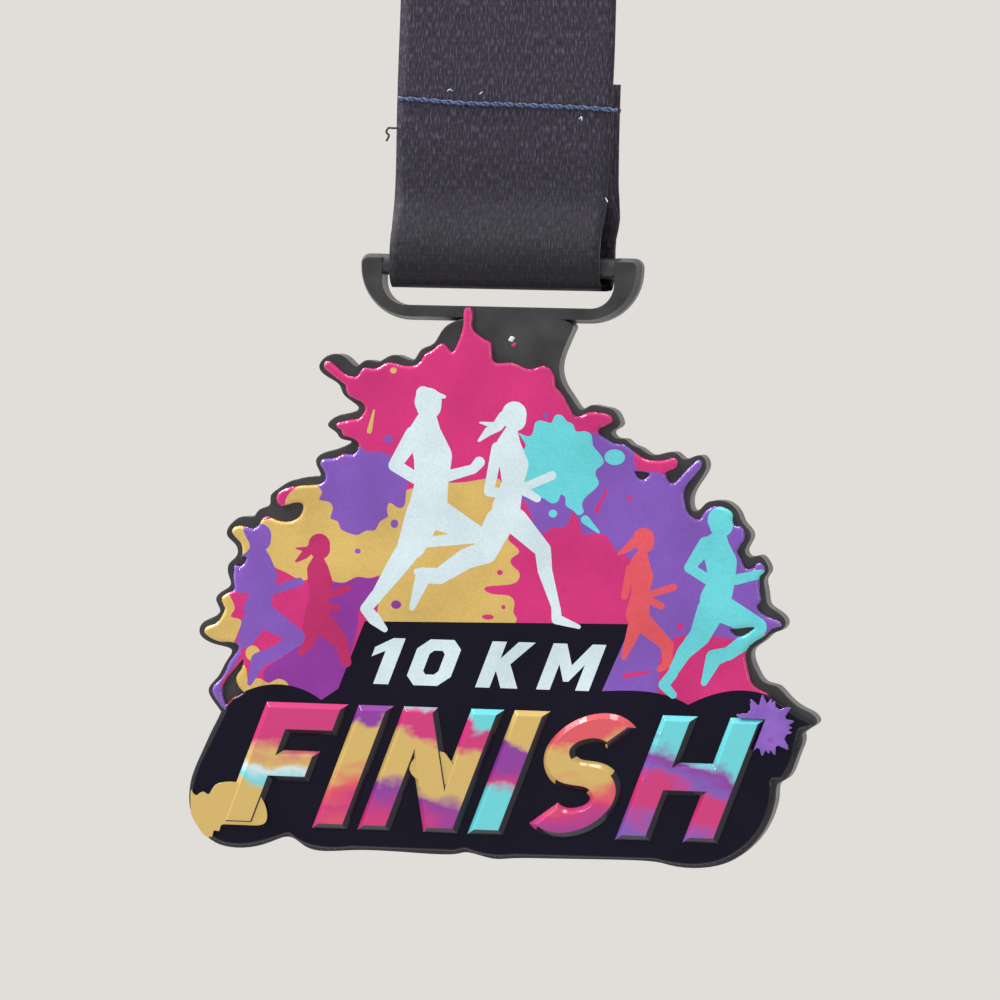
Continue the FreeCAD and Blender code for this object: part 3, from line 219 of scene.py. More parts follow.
PINK, DEEP_PINK = linear("c03072"), linear("ad2c62")
PURPLE, PLUM = linear("7852ac"), linear("833492")
OCHRE, CYAN = linear("c6a862"), linear("63c6cf")
CORAL, WHITE = linear("d0525c"), linear("c4d6de")
NAVY = linear("0a081c")


def print_material(name, colour, second=None):
    """Print under a rippled clear coat, which is thicker on the rims than on the flat front."""
    shader = Shader(name, Roughness=0.42, Coat_Roughness=0.06, Coat_IOR=1.5,
                    Specular_IOR_Level=0.03)
    facing = shader.add("ShaderNodeSeparateXYZ", "Y",
                        Vector=shader.add("ShaderNodeTexCoord", "Normal"))
    shader.set(shader.surface, "Coat Weight", shader.range(facing, -0.99, -0.85, 0.22, 1.0))
    lines = shader.add("ShaderNodeTexWave", "Fac", wave_type="BANDS", bands_direction="Z",
                       Scale=420.0, Distortion=1.5, Detail=2.0, Vector=shader.place())
    lighter = tuple(min(1.0, part * 1.12 + 0.001) for part in colour)
    darker = tuple(part * 0.90 for part in colour)
    cloud = shader.ramp(shader.noise(140.0, 5.0), [(0.3, darker), (0.7, second or lighter)])
    grain = shader.range(shader.noise(5200.0, 2.0), 0.3, 0.7, 0.93, 1.06)
    lined = shader.mix(shader.range(lines, 0.0, 1.0, 0.0, 0.07), cloud, opaque(lighter))
    shader.base(shader.mix(1.0, lined, shader.add("ShaderNodeCombineColor", Red=grain, Green=grain,
                                                  Blue=grain), "MULTIPLY"))
    ripple = shader.bump(shader.noise(90.0, 2.0), 0.25 * MM, 0.35)
    shader.set(shader.surface, "Coat Normal", ripple)
    return shader.normal(shader.bump(shader.noise(2600.0, 2.0), 0.02 * MM, 0.35)).material


def cast_material():
    """Black paint on cast metal: fine orange peel, dull faces, and edges rounded in the shading so
    they show brighter.
    """
    shader = Shader("cast_black", Roughness=0.42, Specular_IOR_Level=0.35, Coat_Weight=0.2,
                    Coat_Roughness=0.25)
    round_edge = shader.add("ShaderNodeBevel", samples=8, Radius=0.28 * MM)
    peel = shader.bump(shader.noise(1500.0, 3.0), 0.05 * MM, 0.5, round_edge)
    fine = shader.bump(shader.noise(6000.0, 2.0), 0.015 * MM, 0.6, peel)
    shader.base(shader.ramp(shader.noise(260.0, 4.0), [(0.35, linear("242427")),
                                                       (0.7, linear("38383b"))]))
    shader.set(shader.surface, "Roughness",
               shader.range(shader.noise(420.0, 4.0), 0.3, 0.7, 0.33, 0.5))
    return shader.normal(fine).material


MATERIALS = {
    "pink": print_material("print_pink_coat", PINK),
    "purple": print_material("print_purple_coat", PURPLE),
    "plum": print_material("print_plum_coat", PLUM),
    "ochre": print_material("print_ochre_coat", OCHRE),
    "cyan": print_material("print_cyan_coat", CYAN),
    "coral": print_material("print_coral_coat", CORAL),
    "white": print_material("print_white_coat", WHITE),
    "navy": print_material("title_navy_coat", NAVY),
    "deep_pink": print_material("runner_pink_coat", DEEP_PINK),
    "cast": cast_material(),
}


def dress(node, material):
    """Gives a carried-over CAD node its material."""
    piece = NODES[node]
    if not piece.material_slots:
        piece.data.materials.append(material)
    for place in piece.material_slots:
        place.link = "OBJECT"
        place.material = material


def link_mesh(name, verts, faces, materials=(), smooth=True):
    mesh = bpy.data.meshes.new(name)
    mesh.from_pydata([tuple(vert) for vert in verts], [], faces)
    mesh.update()
    for material in materials:
        mesh.materials.append(material)
    mesh.polygons.foreach_set("use_smooth", [smooth] * len(mesh.polygons))
    piece = bpy.data.objects.new(name, mesh)
    bpy.context.collection.objects.link(piece)
    return piece


# ---------------------------------------------------------------- the raised, coated picture

RIM_RADIUS = 0.42 * MM
RELIEF_COLOURS = {
    "print_pink": "pink", "print_purple": "purple", "print_plum": "plum", "print_ochre": "ochre",
    "print_cyan": "cyan", "banner_figures": "white",
    "runner_white_left": "white", "runner_white_right": "white", "runner_cyan": "cyan",
    "runner_coral": "coral", "runner_purple": "purple", "runner_pink": "deep_pink",
    "splash_relief": "navy", "title_plate": "navy",
}


def front_of(node):
    """The flat corners, triangles and outline edges of a CAD node's front face."""
    mesh = NODES[node].data
    bm = bmesh.new()
    bm.from_mesh(mesh)
    bmesh.ops.remove_doubles(bm, verts=bm.verts, dist=1e-7)
    bm.normal_update()
    level = min(vert.co.y for vert in bm.verts)
    front = [face for face in bm.faces
             if all(abs(vert.co.y - level) < 2e-6 for vert in face.verts)]
    in_front = set(front)
    corners = {}
    for face in front:
        for vert in face.verts:
            corners.setdefault(vert, len(corners))
    spots = [Vector((vert.co.x, vert.co.z)) for vert in corners]
    faces = [[corners[vert] for vert in face.verts] for face in front]
    edges = [tuple(corners[vert] for vert in edge.verts)
             for edge in dict.fromkeys(edge for face in front for edge in face.edges)
             if sum(face in in_front for face in edge.link_faces) == 1]
    bm.free()
    return spots, faces, edges


def outline_samples(spots, edges, step):
    """Points along the edges with the direction across each of them."""
    samples = []
    for near, far in edges:
        run = spots[far] - spots[near]
        if run.length < 1e-9:
            continue
        across = Vector((run.y, -run.x)).normalized()
        count = max(1, round(run.length / step))
        samples += [(spots[near] + run * ((place + 0.5) / count), across) for place in range(count)]
    return samples


def make_picture():
    """One coated skin over the splash and the title, with a rounded rim and the printed colours."""
    fronts = {node: front_of(node) for node in RELIEF_COLOURS}
    all_spots, all_faces, owner = [], [], []
    for node, (spots, faces, _) in fronts.items():
        lift = 0.0 if node in ("splash_relief", "title_plate") else 1.0
        start = len(all_spots)
        all_spots += [Vector((spot.x, -lift * MM, spot.y)) for spot in spots]
        all_faces += [[start + corner for corner in face] for face in faces]
        owner += [node] * len(faces)
    seen = BVHTree.FromPolygons(all_spots, all_faces)
    inked = [at for at, node in enumerate(owner) if node not in ("splash_relief", "title_plate")]
    ink_tree = BVHTree.FromPolygons(all_spots, [all_faces[at] for at in inked])

    def hit(spot):
        return seen.ray_cast(Vector((spot.x, -1.0, spot.y)), Vector((0, 1, 0)))[2]

    rim = []
    for node in ("splash_relief", "title_plate"):
        spots, _, edges = fronts[node]
        for spot, across in outline_samples(spots, edges, 0.12 * MM):
            sides = [hit(spot + across * (0.04 * MM * hand)) is not None for hand in (-1, 1)]
            if sides[0] != sides[1]:
                rim.append((spot, across if sides[1] else -across))
    near_rim = KDTree(len(rim))
    for at, (spot, _) in enumerate(rim):
        near_rim.insert((spot.x, spot.y, 0.0), at)
    near_rim.balance()

    def rim_distance(spot):
        return near_rim.find((spot.x, spot.y, 0.0))[2]

    points, constraints = [], []
    for spots, _, edges in fronts.values():
        start = len(points)
        points += spots
        constraints += [(start + near, start + far) for near, far in edges]
    for share in (0.12, 0.3, 0.55, 0.85, 1.15):
        for at, (spot, inward) in enumerate(rim):
            if at % 2:
                continue
            inner = spot + inward * (RIM_RADIUS * share)
            if rim_distance(inner) > RIM_RADIUS * share * 0.93:
                points.append(inner)
    low = Vector((SPLASH_LOW.x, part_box("title_plate")[0].z))
    high = Vector((SPLASH_HIGH.x, SPLASH_HIGH.z))
    pitch = 1.3 * MM
    for column in range(int((high.x - low.x + 8 * MM) / pitch)):
        for row in range(int((high.y - low.y) / pitch)):
            spot = Vector((low.x - 4 * MM + column * pitch, low.y + row * pitch))
            if hit(spot) is not None and rim_distance(spot) > RIM_RADIUS * 1.6:
                points.append(spot)
    flat, _, triangles, *_ = delaunay_2d_cdt(points, constraints, [], 0, 2e-6)
    names = list(dict.fromkeys(RELIEF_COLOURS.values()))
    faces, colours = [], []
    for triangle in triangles:
        middle = sum((flat[corner] for corner in triangle), Vector((0, 0))) / 3
        index = hit(middle)
        if index is None:
            continue
        node = owner[index]
        if node == "splash_relief":
            nearest = ink_tree.find_nearest(Vector((middle.x, -MM, middle.y)))[2]
            node = owner[inked[nearest]]
        faces.append(list(triangle))
        colours.append(names.index(RELIEF_COLOURS[node]))

    verts = []
    top = RELIEF_FRONT - 0.05 * MM
    for spot in flat:
        short = max(0.0, RIM_RADIUS - rim_distance(spot))
        fall = RIM_RADIUS - math.sqrt(RIM_RADIUS ** 2 - min(short, RIM_RADIUS) ** 2)
        verts.append(Vector((spot.x, top + fall, spot.y)))
    bm = bmesh.new()
    made = [bm.verts.new(vert) for vert in verts]
    for face, colour in zip(faces, colours):
        try:
            new = bm.faces.new([made[corner] for corner in face])
        except ValueError:
            continue
        new.material_index, new.smooth = colour, True
    bmesh.ops.delete(bm, geom=[vert for vert in bm.verts if not vert.link_faces], context="VERTS")
    bmesh.ops.recalc_face_normals(bm, faces=bm.faces)
    if sum(face.normal.y * face.calc_area() for face in bm.faces) > 0:
        bmesh.ops.reverse_faces(bm, faces=bm.faces)
    border = [edge for edge in bm.edges if edge.is_boundary]
    foot = {}
    for edge in border:
        for vert in edge.verts:
            if vert not in foot:
                foot[vert] = bm.verts.new((vert.co.x, PLATE_FRONT, vert.co.z))
    for edge in border:
        corner = edge.link_loops[0]
        near, far = corner.vert, corner.link_loop_next.vert
        wall = bm.faces.new((far, near, foot[near], foot[far]))
        wall.material_index, wall.smooth = corner.face.material_index, True
    mesh = bpy.data.meshes.new("coated_picture")
    bm.to_mesh(mesh)
    bm.free()
    for name in names:
        mesh.materials.append(MATERIALS[name])
    picture = bpy.data.objects.new("coated_picture", mesh)
    bpy.context.collection.objects.link(picture)
    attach(picture, "medal")
    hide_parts(*RELIEF_COLOURS)
    return picture


make_picture()
dress("medal_casting", MATERIALS["cast"])


# ---------------------------------------------------------------- the raised spray of paint


def spray_material():
    """A thick drop of purple paint with rounded, glinting edges."""
    shader = Shader("spray_purple_coat", Roughness=0.4, Coat_Weight=0.9, Coat_Roughness=0.05,
                    Coat_IOR=1.38, Specular_IOR_Level=0.15)
    round_edge = shader.add("ShaderNodeBevel", samples=8, Radius=0.22 * MM)
    cloud = shader.noise(420.0, 4.0)
    shader.base(shader.ramp(cloud, [(0.35, PURPLE), (0.6, linear("8a5cc0")), (0.75, PLUM)]))
    lumps = shader.bump(shader.noise(900.0, 3.0), 0.25 * MM, 0.5, round_edge)
    shader.set(shader.surface, "Coat Normal", lumps)
    return shader.normal(lumps).material


dress("paint_spray", spray_material())


# ---------------------------------------------------------------- the bevelled letters


def letter_material(name, bands, tilt, seed):
    """Brushed bands of colour across a letter. Navy is the enamel's own colour; keeping it only on
    the bevels facing right and down, with the print colour on those facing up and left, is painted
    shade and light following the key lamp.
    """
    low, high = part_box(name)
    shader = Shader(f"{name}_enamel", Roughness=0.35, Coat_Weight=0.9, Coat_Roughness=0.04,
                    Coat_IOR=1.45, Specular_IOR_Level=0.1)
    place = shader.add("ShaderNodeSeparateXYZ", "Z", Vector=shader.place())
    across = shader.add("ShaderNodeSeparateXYZ", "X", Vector=shader.place())
    brush = shader.noise(230.0, 5.0, shader.scaled(1.0, 1.0, 1.6, tilt))
    wander = shader.maths("MULTIPLY", shader.maths("SUBTRACT", brush, 0.5), 6.5 * MM)
    lean = shader.maths("MULTIPLY", shader.maths("SUBTRACT", across, (low.x + high.x) / 2), tilt)
    level = shader.maths("ADD", shader.maths("ADD", place, wander), lean)
    share = shader.range(level, low.z, high.z, 0.0, 1.0)
    colour = shader.ramp(share, bands)
    # Painted shade: the true normal picks the bevels turned right and down, away from the key lamp,
    # and paints them navy.
    facing = shader.add("ShaderNodeNewGeometry", "True Normal")
    right = shader.add("ShaderNodeSeparateXYZ", "X", Vector=facing)
    up = shader.add("ShaderNodeSeparateXYZ", "Z", Vector=facing)
    painted_shade = shader.maths("SUBTRACT", right, shader.maths("MULTIPLY", up, 0.9))
    dark = shader.maths("GREATER_THAN", painted_shade, 0.12)
    shader.base(shader.mix(dark, colour, opaque(NAVY)))
    round_edge = shader.add("ShaderNodeBevel", samples=8, Radius=0.14 * MM)
    ripple = shader.bump(shader.noise(120.0 + seed, 2.0), 0.2 * MM, 0.3, round_edge)
    shader.set(shader.surface, "Coat Normal", ripple)
    return shader.normal(shader.bump(shader.noise(2600.0, 2.0), 0.02 * MM, 0.3, round_edge)).material


LETTER_BANDS = {
    "letter_1_f": ([(0.0, OCHRE), (0.34, OCHRE), (0.42, CYAN), (0.52, WHITE), (0.58, OCHRE),
                    (0.74, PINK), (1.0, PINK)], 0.25),
    "letter_2_i": ([(0.0, CORAL), (0.22, PINK), (0.36, CORAL), (0.5, OCHRE), (0.8, OCHRE),
                    (0.88, PLUM), (1.0, PLUM)], -0.3),
    "letter_3_n": ([(0.0, PINK), (0.24, PLUM), (0.36, OCHRE), (0.72, OCHRE), (0.8, PINK),
                    (0.94, PINK), (1.0, CYAN)], 0.3),
    "letter_4_i": ([(0.0, CYAN), (0.3, CYAN), (0.38, PINK), (0.5, PLUM), (0.7, PLUM),
                    (0.78, OCHRE), (1.0, OCHRE)], 0.35),
    "letter_5_s": ([(0.0, PLUM), (0.22, PINK), (0.34, CORAL), (0.5, OCHRE), (0.68, OCHRE),
                    (0.78, CORAL), (1.0, CORAL)], -0.2),
    "letter_6_h": ([(0.0, PURPLE), (0.2, PINK), (0.4, PINK), (0.48, PURPLE), (0.62, PLUM),
                    (0.72, CYAN), (1.0, CYAN)], 0.3),
}
for seed, (name, (bands, tilt)) in enumerate(LETTER_BANDS.items()):
    dress(name, letter_material(name, bands, tilt, seed * 7.0))


# ---------------------------------------------------------------- the ribbon

WIDTH = STRAND_HIGH.x - STRAND_LOW.x
PLY = (STRAND_HIGH.y - STRAND_LOW.y) / 2
CLOTH = 0.36 * MM
STRAND_MIDDLE = (STRAND_LOW.y + STRAND_HIGH.y) / 2
BACK_MIDDLE = HANK_HIGH.y - PLY
LOOP_RADIUS = LOOP_HIGH.y - SWING.y - PLY
LAYERS = 5
PITCH = (HANK_HIGH.y - HANK_LOW.y - 2 * PLY) / (LAYERS - 1)
JOIN = LOOP_HIGH.z
STEP = 1.2 * MM


def straight(start, end, step=STEP):
    """Points along a straight run, without its last one."""
    count = max(1, round((end - start).length / step))
    return [start.lerp(end, at / count) for at in range(count)]


def turn(centre, radius, start, end, step=12.0):
    """Points round a circle in the YZ plane from one angle to another, without the last one."""
    count = max(4, round(abs(end - start) / step))
    angles = [math.radians(start + (end - start) * at / count) for at in range(count)]
    return [Vector((centre[0] + radius * math.cos(angle), centre[1] + radius * math.sin(angle)))
            for angle in angles]


def ribbon_route():
    """The middle of the doubled ribbon, as (y, z): from the cut ends behind the strand, under the
    bar, up over the peg and down into the folded hank."""
    bar = (SWING.y, SWING.z)
    tail = TAILS_LOW.y + PLY
    side = SWING.z + 2.2 * MM
    route = straight(Vector((tail, TAILS_HIGH.z)), Vector((tail, JOIN)))
    route += straight(Vector((tail, JOIN)), Vector((bar[0] + LOOP_RADIUS, side)))
    route += straight(Vector((bar[0] + LOOP_RADIUS, side)), Vector((bar[0] + LOOP_RADIUS, bar[1])))
    route += turn(bar, LOOP_RADIUS, 0, -180)
    route += straight(Vector((bar[0] - LOOP_RADIUS, bar[1])), Vector((bar[0] - LOOP_RADIUS, side)))
    route += straight(Vector((bar[0] - LOOP_RADIUS, side)), Vector((STRAND_MIDDLE, JOIN)))
    route += straight(Vector((STRAND_MIDDLE, JOIN)), Vector((STRAND_MIDDLE, 0.0)))
    route += turn((0.0, 0.0), BACK_MIDDLE, 180, 0)
    top, bottom = HANK_HIGH.z - PITCH / 2 - PLY, HANK_LOW.z + PITCH / 2 + PLY
    level = 0.0
    for layer in range(LAYERS):
        depth = BACK_MIDDLE - layer * PITCH
        goal = top if layer % 2 else bottom
        route += straight(Vector((depth, level)), Vector((depth, goal)))
        if layer < LAYERS - 1:
            way = (0, 180) if layer % 2 else (0, -180)
            route += turn((depth - PITCH / 2, goal), PITCH / 2, *way, 30.0)
        level = goal
    return route + [Vector((BACK_MIDDLE - (LAYERS - 1) * PITCH, level))]


def smoothed(route, rounds):
    for _ in range(rounds):
        route = ([route[0]] + [(before + spot * 2 + after) / 4 for before, spot, after
                               in zip(route, route[1:], route[2:])] + [route[-1]])
    return route


def beside(route, distance):
    """The route moved sideways, as each of the two plies lies."""
    moved = []
    for at, spot in enumerate(route):
        along = (route[min(at + 1, len(route) - 1)] - route[max(at - 1, 0)]).normalized()
        moved.append(spot + Vector((-along.y, along.x)) * distance)
    return moved


def ease(value, low, high):
    share = min(1.0, max(0.0, (value - low) / (high - low)))
    return share * share * (3 - 2 * share)


def edges_at(spot, ply):
    """Left and right edges of a ply at a point of the route, from the bar's centre."""
    above = spot.y - SWING.z
    behind = ease(spot.x, SWING.y - 0.3 * MM, SWING.y + 0.9 * MM)
    near_bar = 1.0 - ease(above, 3 * MM, 26 * MM)
    shift = -0.35 * MM * near_bar * (1 - behind)
    shift += (0.45 * MM + 0.65 * MM * ease(above, 2.5 * MM, 6 * MM)) * behind
    if ply == 1:
        shift += 0.45 * MM * (1 - behind) * ease(above, 2.5 * MM, 8 * MM)
    if spot.x > SWING.y + 1.2 * MM and above > 30 * MM or above > 32 * MM:
        shift = shift * (1 - ease(above, 28 * MM, 36 * MM))
    narrow = 0.22 * MM * near_bar * (1 - behind)
    wave = 0.10 * MM * math.sin(above / (4.7 * MM) + ply) * ease(-above, -90 * MM, -2 * MM)
    return -WIDTH / 2 + shift + narrow * 0.2 + wave, WIDTH / 2 + shift - narrow + wave * 0.6


def make_ribbon():
    """The whole band as one strip of cloth: one ply out to the hank's inner fold and the other
    ply back, each with its own edges."""
    route = smoothed(ribbon_route(), 2)
    outer = [(spot, 0) for spot in beside(route, -PLY / 2)]
    inner = [(spot, 1) for spot in beside(route, PLY / 2)]
    line = outer + inner[::-1]
    columns = 26
    verts, faces = [], []
    length = 0.0
    runs = [0.0]
    for (near, _), (far, _) in zip(line, line[1:]):
        length += (far - near).length
        runs.append(length)
    random.seed(4)
    phases = [random.uniform(0, 6.28) for _ in range(6)]
    for (spot, ply), run in zip(line, runs):
        left, right = edges_at(spot, ply)
        above = spot.y - SWING.z
        loose = ease(above, 8 * MM, 16 * MM) * (1 - ease(above, 32 * MM, 40 * MM))
        at_bar = 1 - ease(abs(above), 0, 7 * MM)
        for column in range(columns + 1):
            share = column / columns
            x = left + (right - left) * share
            swell = 0.07 * MM * math.sin(math.pi * share) * loose
            swell += 0.05 * MM * math.sin(share * 9 + above / (3.1 * MM) + phases[0]) * loose
            swell += 0.05 * MM * math.sin(share * 14 + phases[1]) * at_bar
            verts.append(Vector((x, spot.x - swell * (1 if ply == 0 else 0.6), spot.y)))
    wide = columns + 1
    for row in range(len(line) - 1):
        for column in range(columns):
            corner = row * wide + column
            faces.append((corner, corner + 1, corner + wide + 1, corner + wide))
    ribbon = link_mesh("neck_ribbon", verts, faces, [ribbon_material()])
    uv = ribbon.data.uv_layers.new(name="weave")
    for loop in ribbon.data.loops:
        row, column = divmod(loop.vertex_index, wide)
        uv.data[loop.index].uv = (column / columns * WIDTH / MM, runs[row] / MM)
    thick = ribbon.modifiers.new("cloth", "SOLIDIFY")
    thick.thickness = CLOTH
    thick.offset = 0.0
    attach(ribbon, "ribbon")
    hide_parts("ribbon_bar_loop", "ribbon_strand", "ribbon_tails", "ribbon_peg_loop",
                "ribbon_hank")
    return ribbon


def ribbon_material():
    """Dark satin: short upright floats of yarn in rows, with painted shade darkening it towards the
    loop.
    """
    shader = Shader("ribbon_satin", Roughness=0.6, Sheen_Weight=0.12, Sheen_Roughness=0.35,
                    Specular_IOR_Level=0.3)
    uv = shader.add("ShaderNodeUVMap", 0, uv_map="weave")

    def woven(x, y):
        mapping = shader.tree.nodes.new("ShaderNodeMapping")
        shader.set(mapping, "Vector", uv)
        mapping.inputs["Scale"].default_value = (x, y, 1.0)
        return mapping.outputs[0]

    floats = shader.add("ShaderNodeTexBrick", "Fac", offset=0.5, Vector=woven(1.0, 1.0),
                        Scale=1.0, Mortar_Size=0.035, Brick_Width=0.2, Row_Height=0.62,
                        Mortar_Smooth=0.8)
    dashes = shader.noise(1.0, 2.0, woven(5.5, 1.1))
    rows = shader.noise(1.0, 2.0, woven(0.35, 4.5))
    patch = shader.noise(1.0, 3.0, woven(0.12, 0.16))
    streak = shader.range(dashes, 0.35, 0.7, 0.0, 1.0)
    # Painted shade: the colour is multiplied down to 0.22 at the bottom of the loop, rising to full
    # 16 mm above the bar.
    height_above = shader.add("ShaderNodeSeparateXYZ", "Z", Vector=shader.place())
    painted_shade_by_height = shader.range(height_above, SWING.z - 2 * MM, SWING.z + 16 * MM, 0.22, 1.0)
    dashed = shader.ramp(streak, [(0.0, linear("1a1722")), (0.55, linear("322d3d")),
                                  (1.0, linear("5a5470"))])
    yarn = shader.mix(shader.range(rows, 0.35, 0.7, 0.0, 0.35), dashed, opaque(linear("1c1b28")))
    painted_shade = shader.add("ShaderNodeCombineColor", Red=painted_shade_by_height, Green=painted_shade_by_height, Blue=painted_shade_by_height)
    shader.base(shader.mix(1.0, yarn, painted_shade, "MULTIPLY"))
    shader.set(shader.surface, "Roughness", shader.range(patch, 0.3, 0.7, 0.48, 0.66))
    height = shader.maths("SUBTRACT", shader.maths("MULTIPLY", dashes, 1.0),
                          shader.maths("MULTIPLY", floats, 0.6))
    weave = shader.bump(height, 0.12 * MM, 0.7)
    ribs = shader.bump(rows, 0.10 * MM, 0.4, weave)
    return shader.normal(ribs).material


make_ribbon()


# ---------------------------------------------------------------- seam, thread, lint and tie


def thread_material(name, dark, light):
    shader = Shader(name, Roughness=0.75, Sheen_Weight=0.3)
    twist = shader.add("ShaderNodeTexWave", "Fac", wave_type="BANDS", bands_direction="DIAGONAL",
                       Scale=1100.0, Distortion=2.0, Vector=shader.place())
    shader.base(shader.ramp(twist, [(0.2, dark), (0.8, light)]))
    return shader.normal(shader.bump(twist, 0.05 * MM, 0.7)).material


THREAD = thread_material("denim_thread", linear("1c2b4e"), linear("4d6796"))
DARK_THREAD = thread_material("dark_thread", linear("0c0c12"), linear("262633"))
LINT = thread_material("pale_lint", linear("a9acb8"), linear("e8e8ee"))


def strand_of(name, spots, radius, material):
    """A round thread through the spots."""
    curve = bpy.data.curves.new(name, "CURVE")
    curve.dimensions = "3D"
    spline = curve.splines.new("POLY")
    spline.points.add(len(spots) - 1)
    for place, spot in zip(spline.points, spots):
        place.co = (*spot, 1.0)
    curve.bevel_depth = radius
    curve.bevel_resolution = 3
    curve.use_fill_caps = True
    curve.materials.append(material)
    piece = bpy.data.objects.new(name, curve)
    bpy.context.collection.objects.link(piece)
    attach(piece, "ribbon")
    return piece


def seam_level(x):
    """The seam drops a little towards the right."""
    middle = (SEAM_LOW.z + SEAM_HIGH.z) / 2
    share = (x + WIDTH / 2) / WIDTH
    return middle + 0.15 * MM - 0.75 * MM * share + 0.12 * MM * math.sin(share * 11)


def make_seam():
    """Two plies of thread twisted round each other, pinched at each stitch, on both sides."""
    front = STRAND_LOW.y - 0.02 * MM
    back = TAILS_HIGH.y + 0.1 * MM
    for side, level, hand in (("front", front, -1), ("back", back, 1)):
        for ply in (0, 1):
            spots = []
            count = 420
            for at in range(count + 1):
                share = at / count
                x = -WIDTH / 2 + 0.1 * MM + (WIDTH + 0.9 * MM) * share
                stitch = (x / (3.1 * MM)) % 1.0
                proud = abs(math.sin(math.pi * stitch)) ** 0.45
                twist = x / (0.46 * MM) + ply * math.pi
                wander = 0.09 * MM * math.sin(x / (1.9 * MM) + 2)
                spots.append(Vector((x, level + hand * (0.02 + 0.16 * proud) * MM
                                     + 0.11 * MM * math.cos(twist),
                                     seam_level(x) + wander + 0.14 * MM * math.sin(twist))))
            strand_of(f"seam_{side}_ply_{ply + 1}", spots, 0.13 * MM, THREAD)
    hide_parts("seam_thread")


def bent(*spots):
    """A short thread's route from listed spots: x and height above the bar, in mm."""
    front = STRAND_LOW.y - 0.16 * MM
    corners = [Vector((x * MM, front, SWING.z + z * MM)) for x, z in spots]
    smooth = []
    for near, far in zip(corners, corners[1:]):
        smooth += [near.lerp(far, at / 6) for at in range(6)]
    smooth.append(corners[-1])
    for _ in range(6):
        smooth = [smooth[0]] + [(a + b * 2 + c) / 4 for a, b, c in
                                zip(smooth, smooth[1:], smooth[2:])] + [smooth[-1]]
    return smooth


make_seam()
loose = strand_of("loose_thread_end", bent((-12.0, 15.9), (-12.9, 15.8), (-13.5, 15.9), (-13.8, 15.3),
                                           (-13.3, 15.0), (-13.7, 14.3)), 0.13 * MM, DARK_THREAD)
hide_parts("loose_thread")
LINT_SPOTS = [((-6.6, 20.2), (-6.2, 20.5), (-6.0, 20.2)), ((-2.8, 19.9), (-2.4, 20.2)),
              ((9.0, 17.2), (9.4, 17.6), (9.3, 17.0)), ((12.3, 8.2), (12.6, 7.7))]
for number, spots in enumerate(LINT_SPOTS, start=1):
    strand_of(f"lint_{number}", bent(*spots), 0.06 * MM, LINT)


def make_tie():
    """A soft band round the folded ribbon, with rounded corners and a crown."""
    half_x, half_y = (TIE_HIGH.x - TIE_LOW.x) / 2, (TIE_HIGH.y - TIE_LOW.y) / 2
    inset, corner = 0.22 * MM, 1.0 * MM
    ring = []
    for quarter, (sign_x, sign_y) in enumerate(((1, 1), (-1, 1), (-1, -1), (1, -1))):
        centre = Vector((sign_x * (half_x - corner - inset), sign_y * (half_y - corner - inset)))
        for at in range(7):
            angle = math.radians(quarter * 90 + at * 15)
            ring.append(centre + Vector((math.cos(angle), math.sin(angle))) * corner)
    dense = []
    for near, far in zip(ring, ring[1:] + ring[:1]):
        count = max(1, round((far - near).length / (1.0 * MM)))
        dense += [near.lerp(far, at / count) for at in range(count)]
    rows = 12
    verts, faces = [], []
    for row in range(rows + 1):
        share = row / rows
        z = TIE_LOW.z + 0.1 * MM + (TIE_HIGH.z - TIE_LOW.z - 0.2 * MM) * share
        for at, spot in enumerate(dense):
            crown = 0.12 * MM * math.sin(math.pi * share)
            sag = 0.10 * MM * math.sin(at * 0.35)
            outward = Vector((spot.x, spot.y, 0)).normalized()
            verts.append(Vector((spot.x, spot.y, z + sag)) + outward * crown)
    around = len(dense)
    for row in range(rows):
        for at in range(around):
            here, after = row * around + at, row * around + (at + 1) % around
            faces.append((here, after, after + around, here + around))
    shader = Shader("tie_pile", Roughness=0.9, Sheen_Weight=0.5)
    pile = shader.noise(2600.0, 3.0)
    shader.base(shader.ramp(pile, [(0.3, linear("101014")), (0.7, linear("2b2b33"))]))
    shader.normal(shader.bump(pile, 0.25 * MM, 0.9))
    tie = link_mesh("ribbon_tie", verts, faces, [shader.material])
    thick = tie.modifiers.new("pile", "SOLIDIFY")
    thick.thickness = 0.28 * MM
    thick.offset = 0.0
    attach(tie, "ribbon")
    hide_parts("hank_tie")


make_tie()


# ---------------------------------------------------------------- paint speck on the hanger


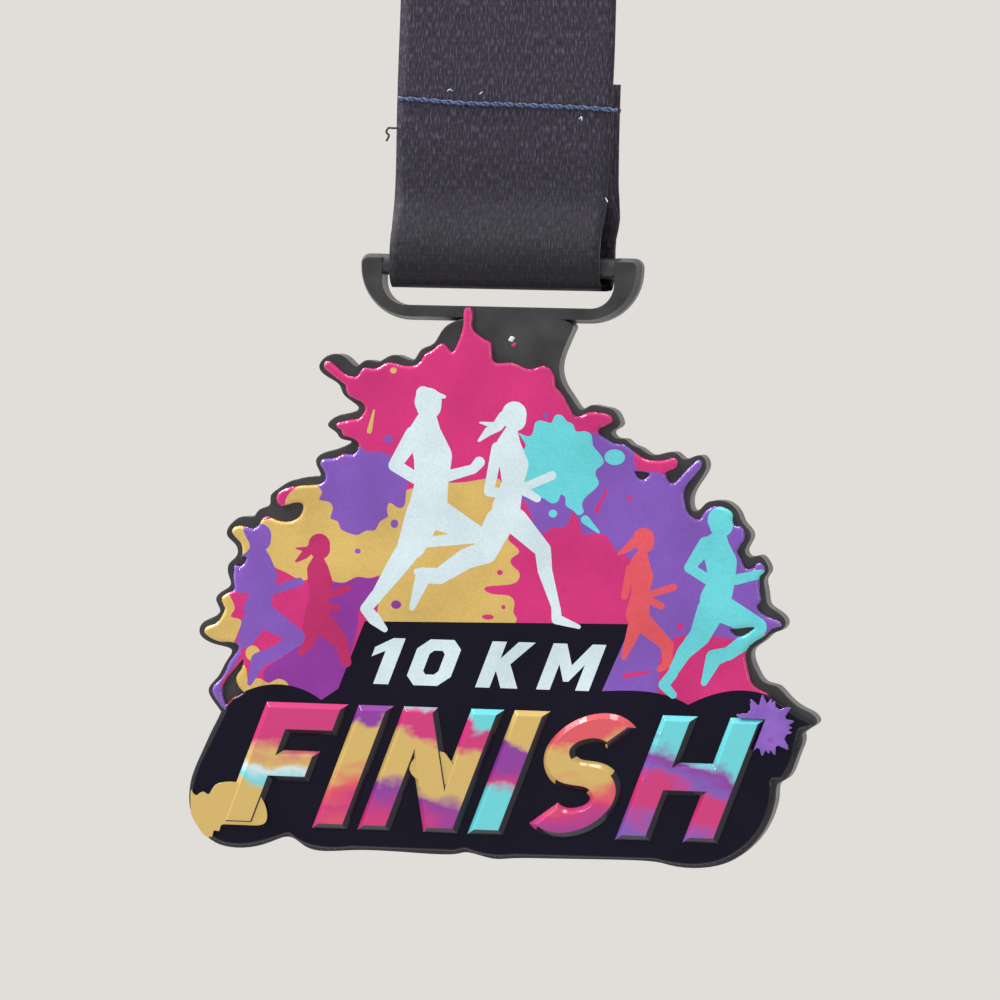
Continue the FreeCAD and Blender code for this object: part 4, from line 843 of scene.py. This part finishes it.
def make_speck():
    """Two small drops of stray paint on the black neck, left of its middle line."""
    for number, (x, z, radius) in enumerate(((1.75, -8.35, 0.34), (2.05, -9.0, 0.26)), start=1):
        mesh = bpy.data.meshes.new(f"paint_speck_{number}")
        bm = bmesh.new()
        bmesh.ops.create_icosphere(bm, subdivisions=3, radius=radius * MM)
        for vert in bm.verts:
            vert.co.y *= 0.35
            vert.co.x += 0.08 * MM * math.sin(vert.co.z / (0.1 * MM))
        bm.to_mesh(mesh)
        bm.free()
        mesh.materials.append(MATERIALS["white" if number == 1 else "pink"])
        mesh.polygons.foreach_set("use_smooth", [True] * len(mesh.polygons))
        mesh.transform(Matrix.Translation((SWING.x + x * MM, PLATE_FRONT, SWING.z + z * MM)))
        speck = bpy.data.objects.new(f"paint_speck_{number}", mesh)
        bpy.context.collection.objects.link(speck)
        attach(speck, "medal")


make_speck()


# ---------------------------------------------------------------- floor and light


FLOOR_HALF_WIDTH = 2.0
FLOOR_DROP = 500 * MM    # far enough below for the camera to see only the pale background


def make_floor():
    low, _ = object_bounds()
    half = FLOOR_HALF_WIDTH
    level = low.z - FLOOR_DROP
    floor = link_mesh("floor", [(-half, -half, level), (half, -half, level), (half, half, level),
                                (-half, half, level)], [(0, 1, 2, 3)], smooth=False)
    shader = Shader("pale_floor", Roughness=0.8)
    shader.base(shader.ramp(shader.noise(6.0, 4.0), [(0.3, (0.72, 0.72, 0.71)),
                                                     (0.7, (0.78, 0.78, 0.77))]))
    floor.data.materials.append(shader.material)


def area_light(name, place, size, power, colour=(1.0, 1.0, 1.0)):
    data = bpy.data.lights.new(name, "AREA")
    data.shape, data.size, data.energy, data.color = "SQUARE", size, power, colour
    light = bpy.data.objects.new(name, data)
    light.location = AIM + Vector(place)
    light.rotation_mode = "QUATERNION"
    light.rotation_quaternion = (-Vector(place)).to_track_quat("-Z", "Y")
    bpy.context.collection.objects.link(light)


make_floor()
area_light("key", (-0.45, -0.50, 0.60), 0.12, 3.2, (1.0, 0.985, 0.96))
area_light("fill", (0.6, -0.5, 0.1), 0.3, 0.7, (0.95, 0.97, 1.0))
area_light("top", (0.05, 0.05, 0.7), 0.3, 3.0)
area_light("rim", (-0.5, 0.03, 0.5), 0.4, 9.0)
world = bpy.data.worlds.new("studio")
world.use_nodes = True
world.node_tree.nodes["Background"].inputs["Color"].default_value = opaque(linear("e1deda"))
world.node_tree.nodes["Background"].inputs["Strength"].default_value = 1.0
bpy.context.scene.world = world
bpy.context.scene.view_settings.view_transform = "Standard"
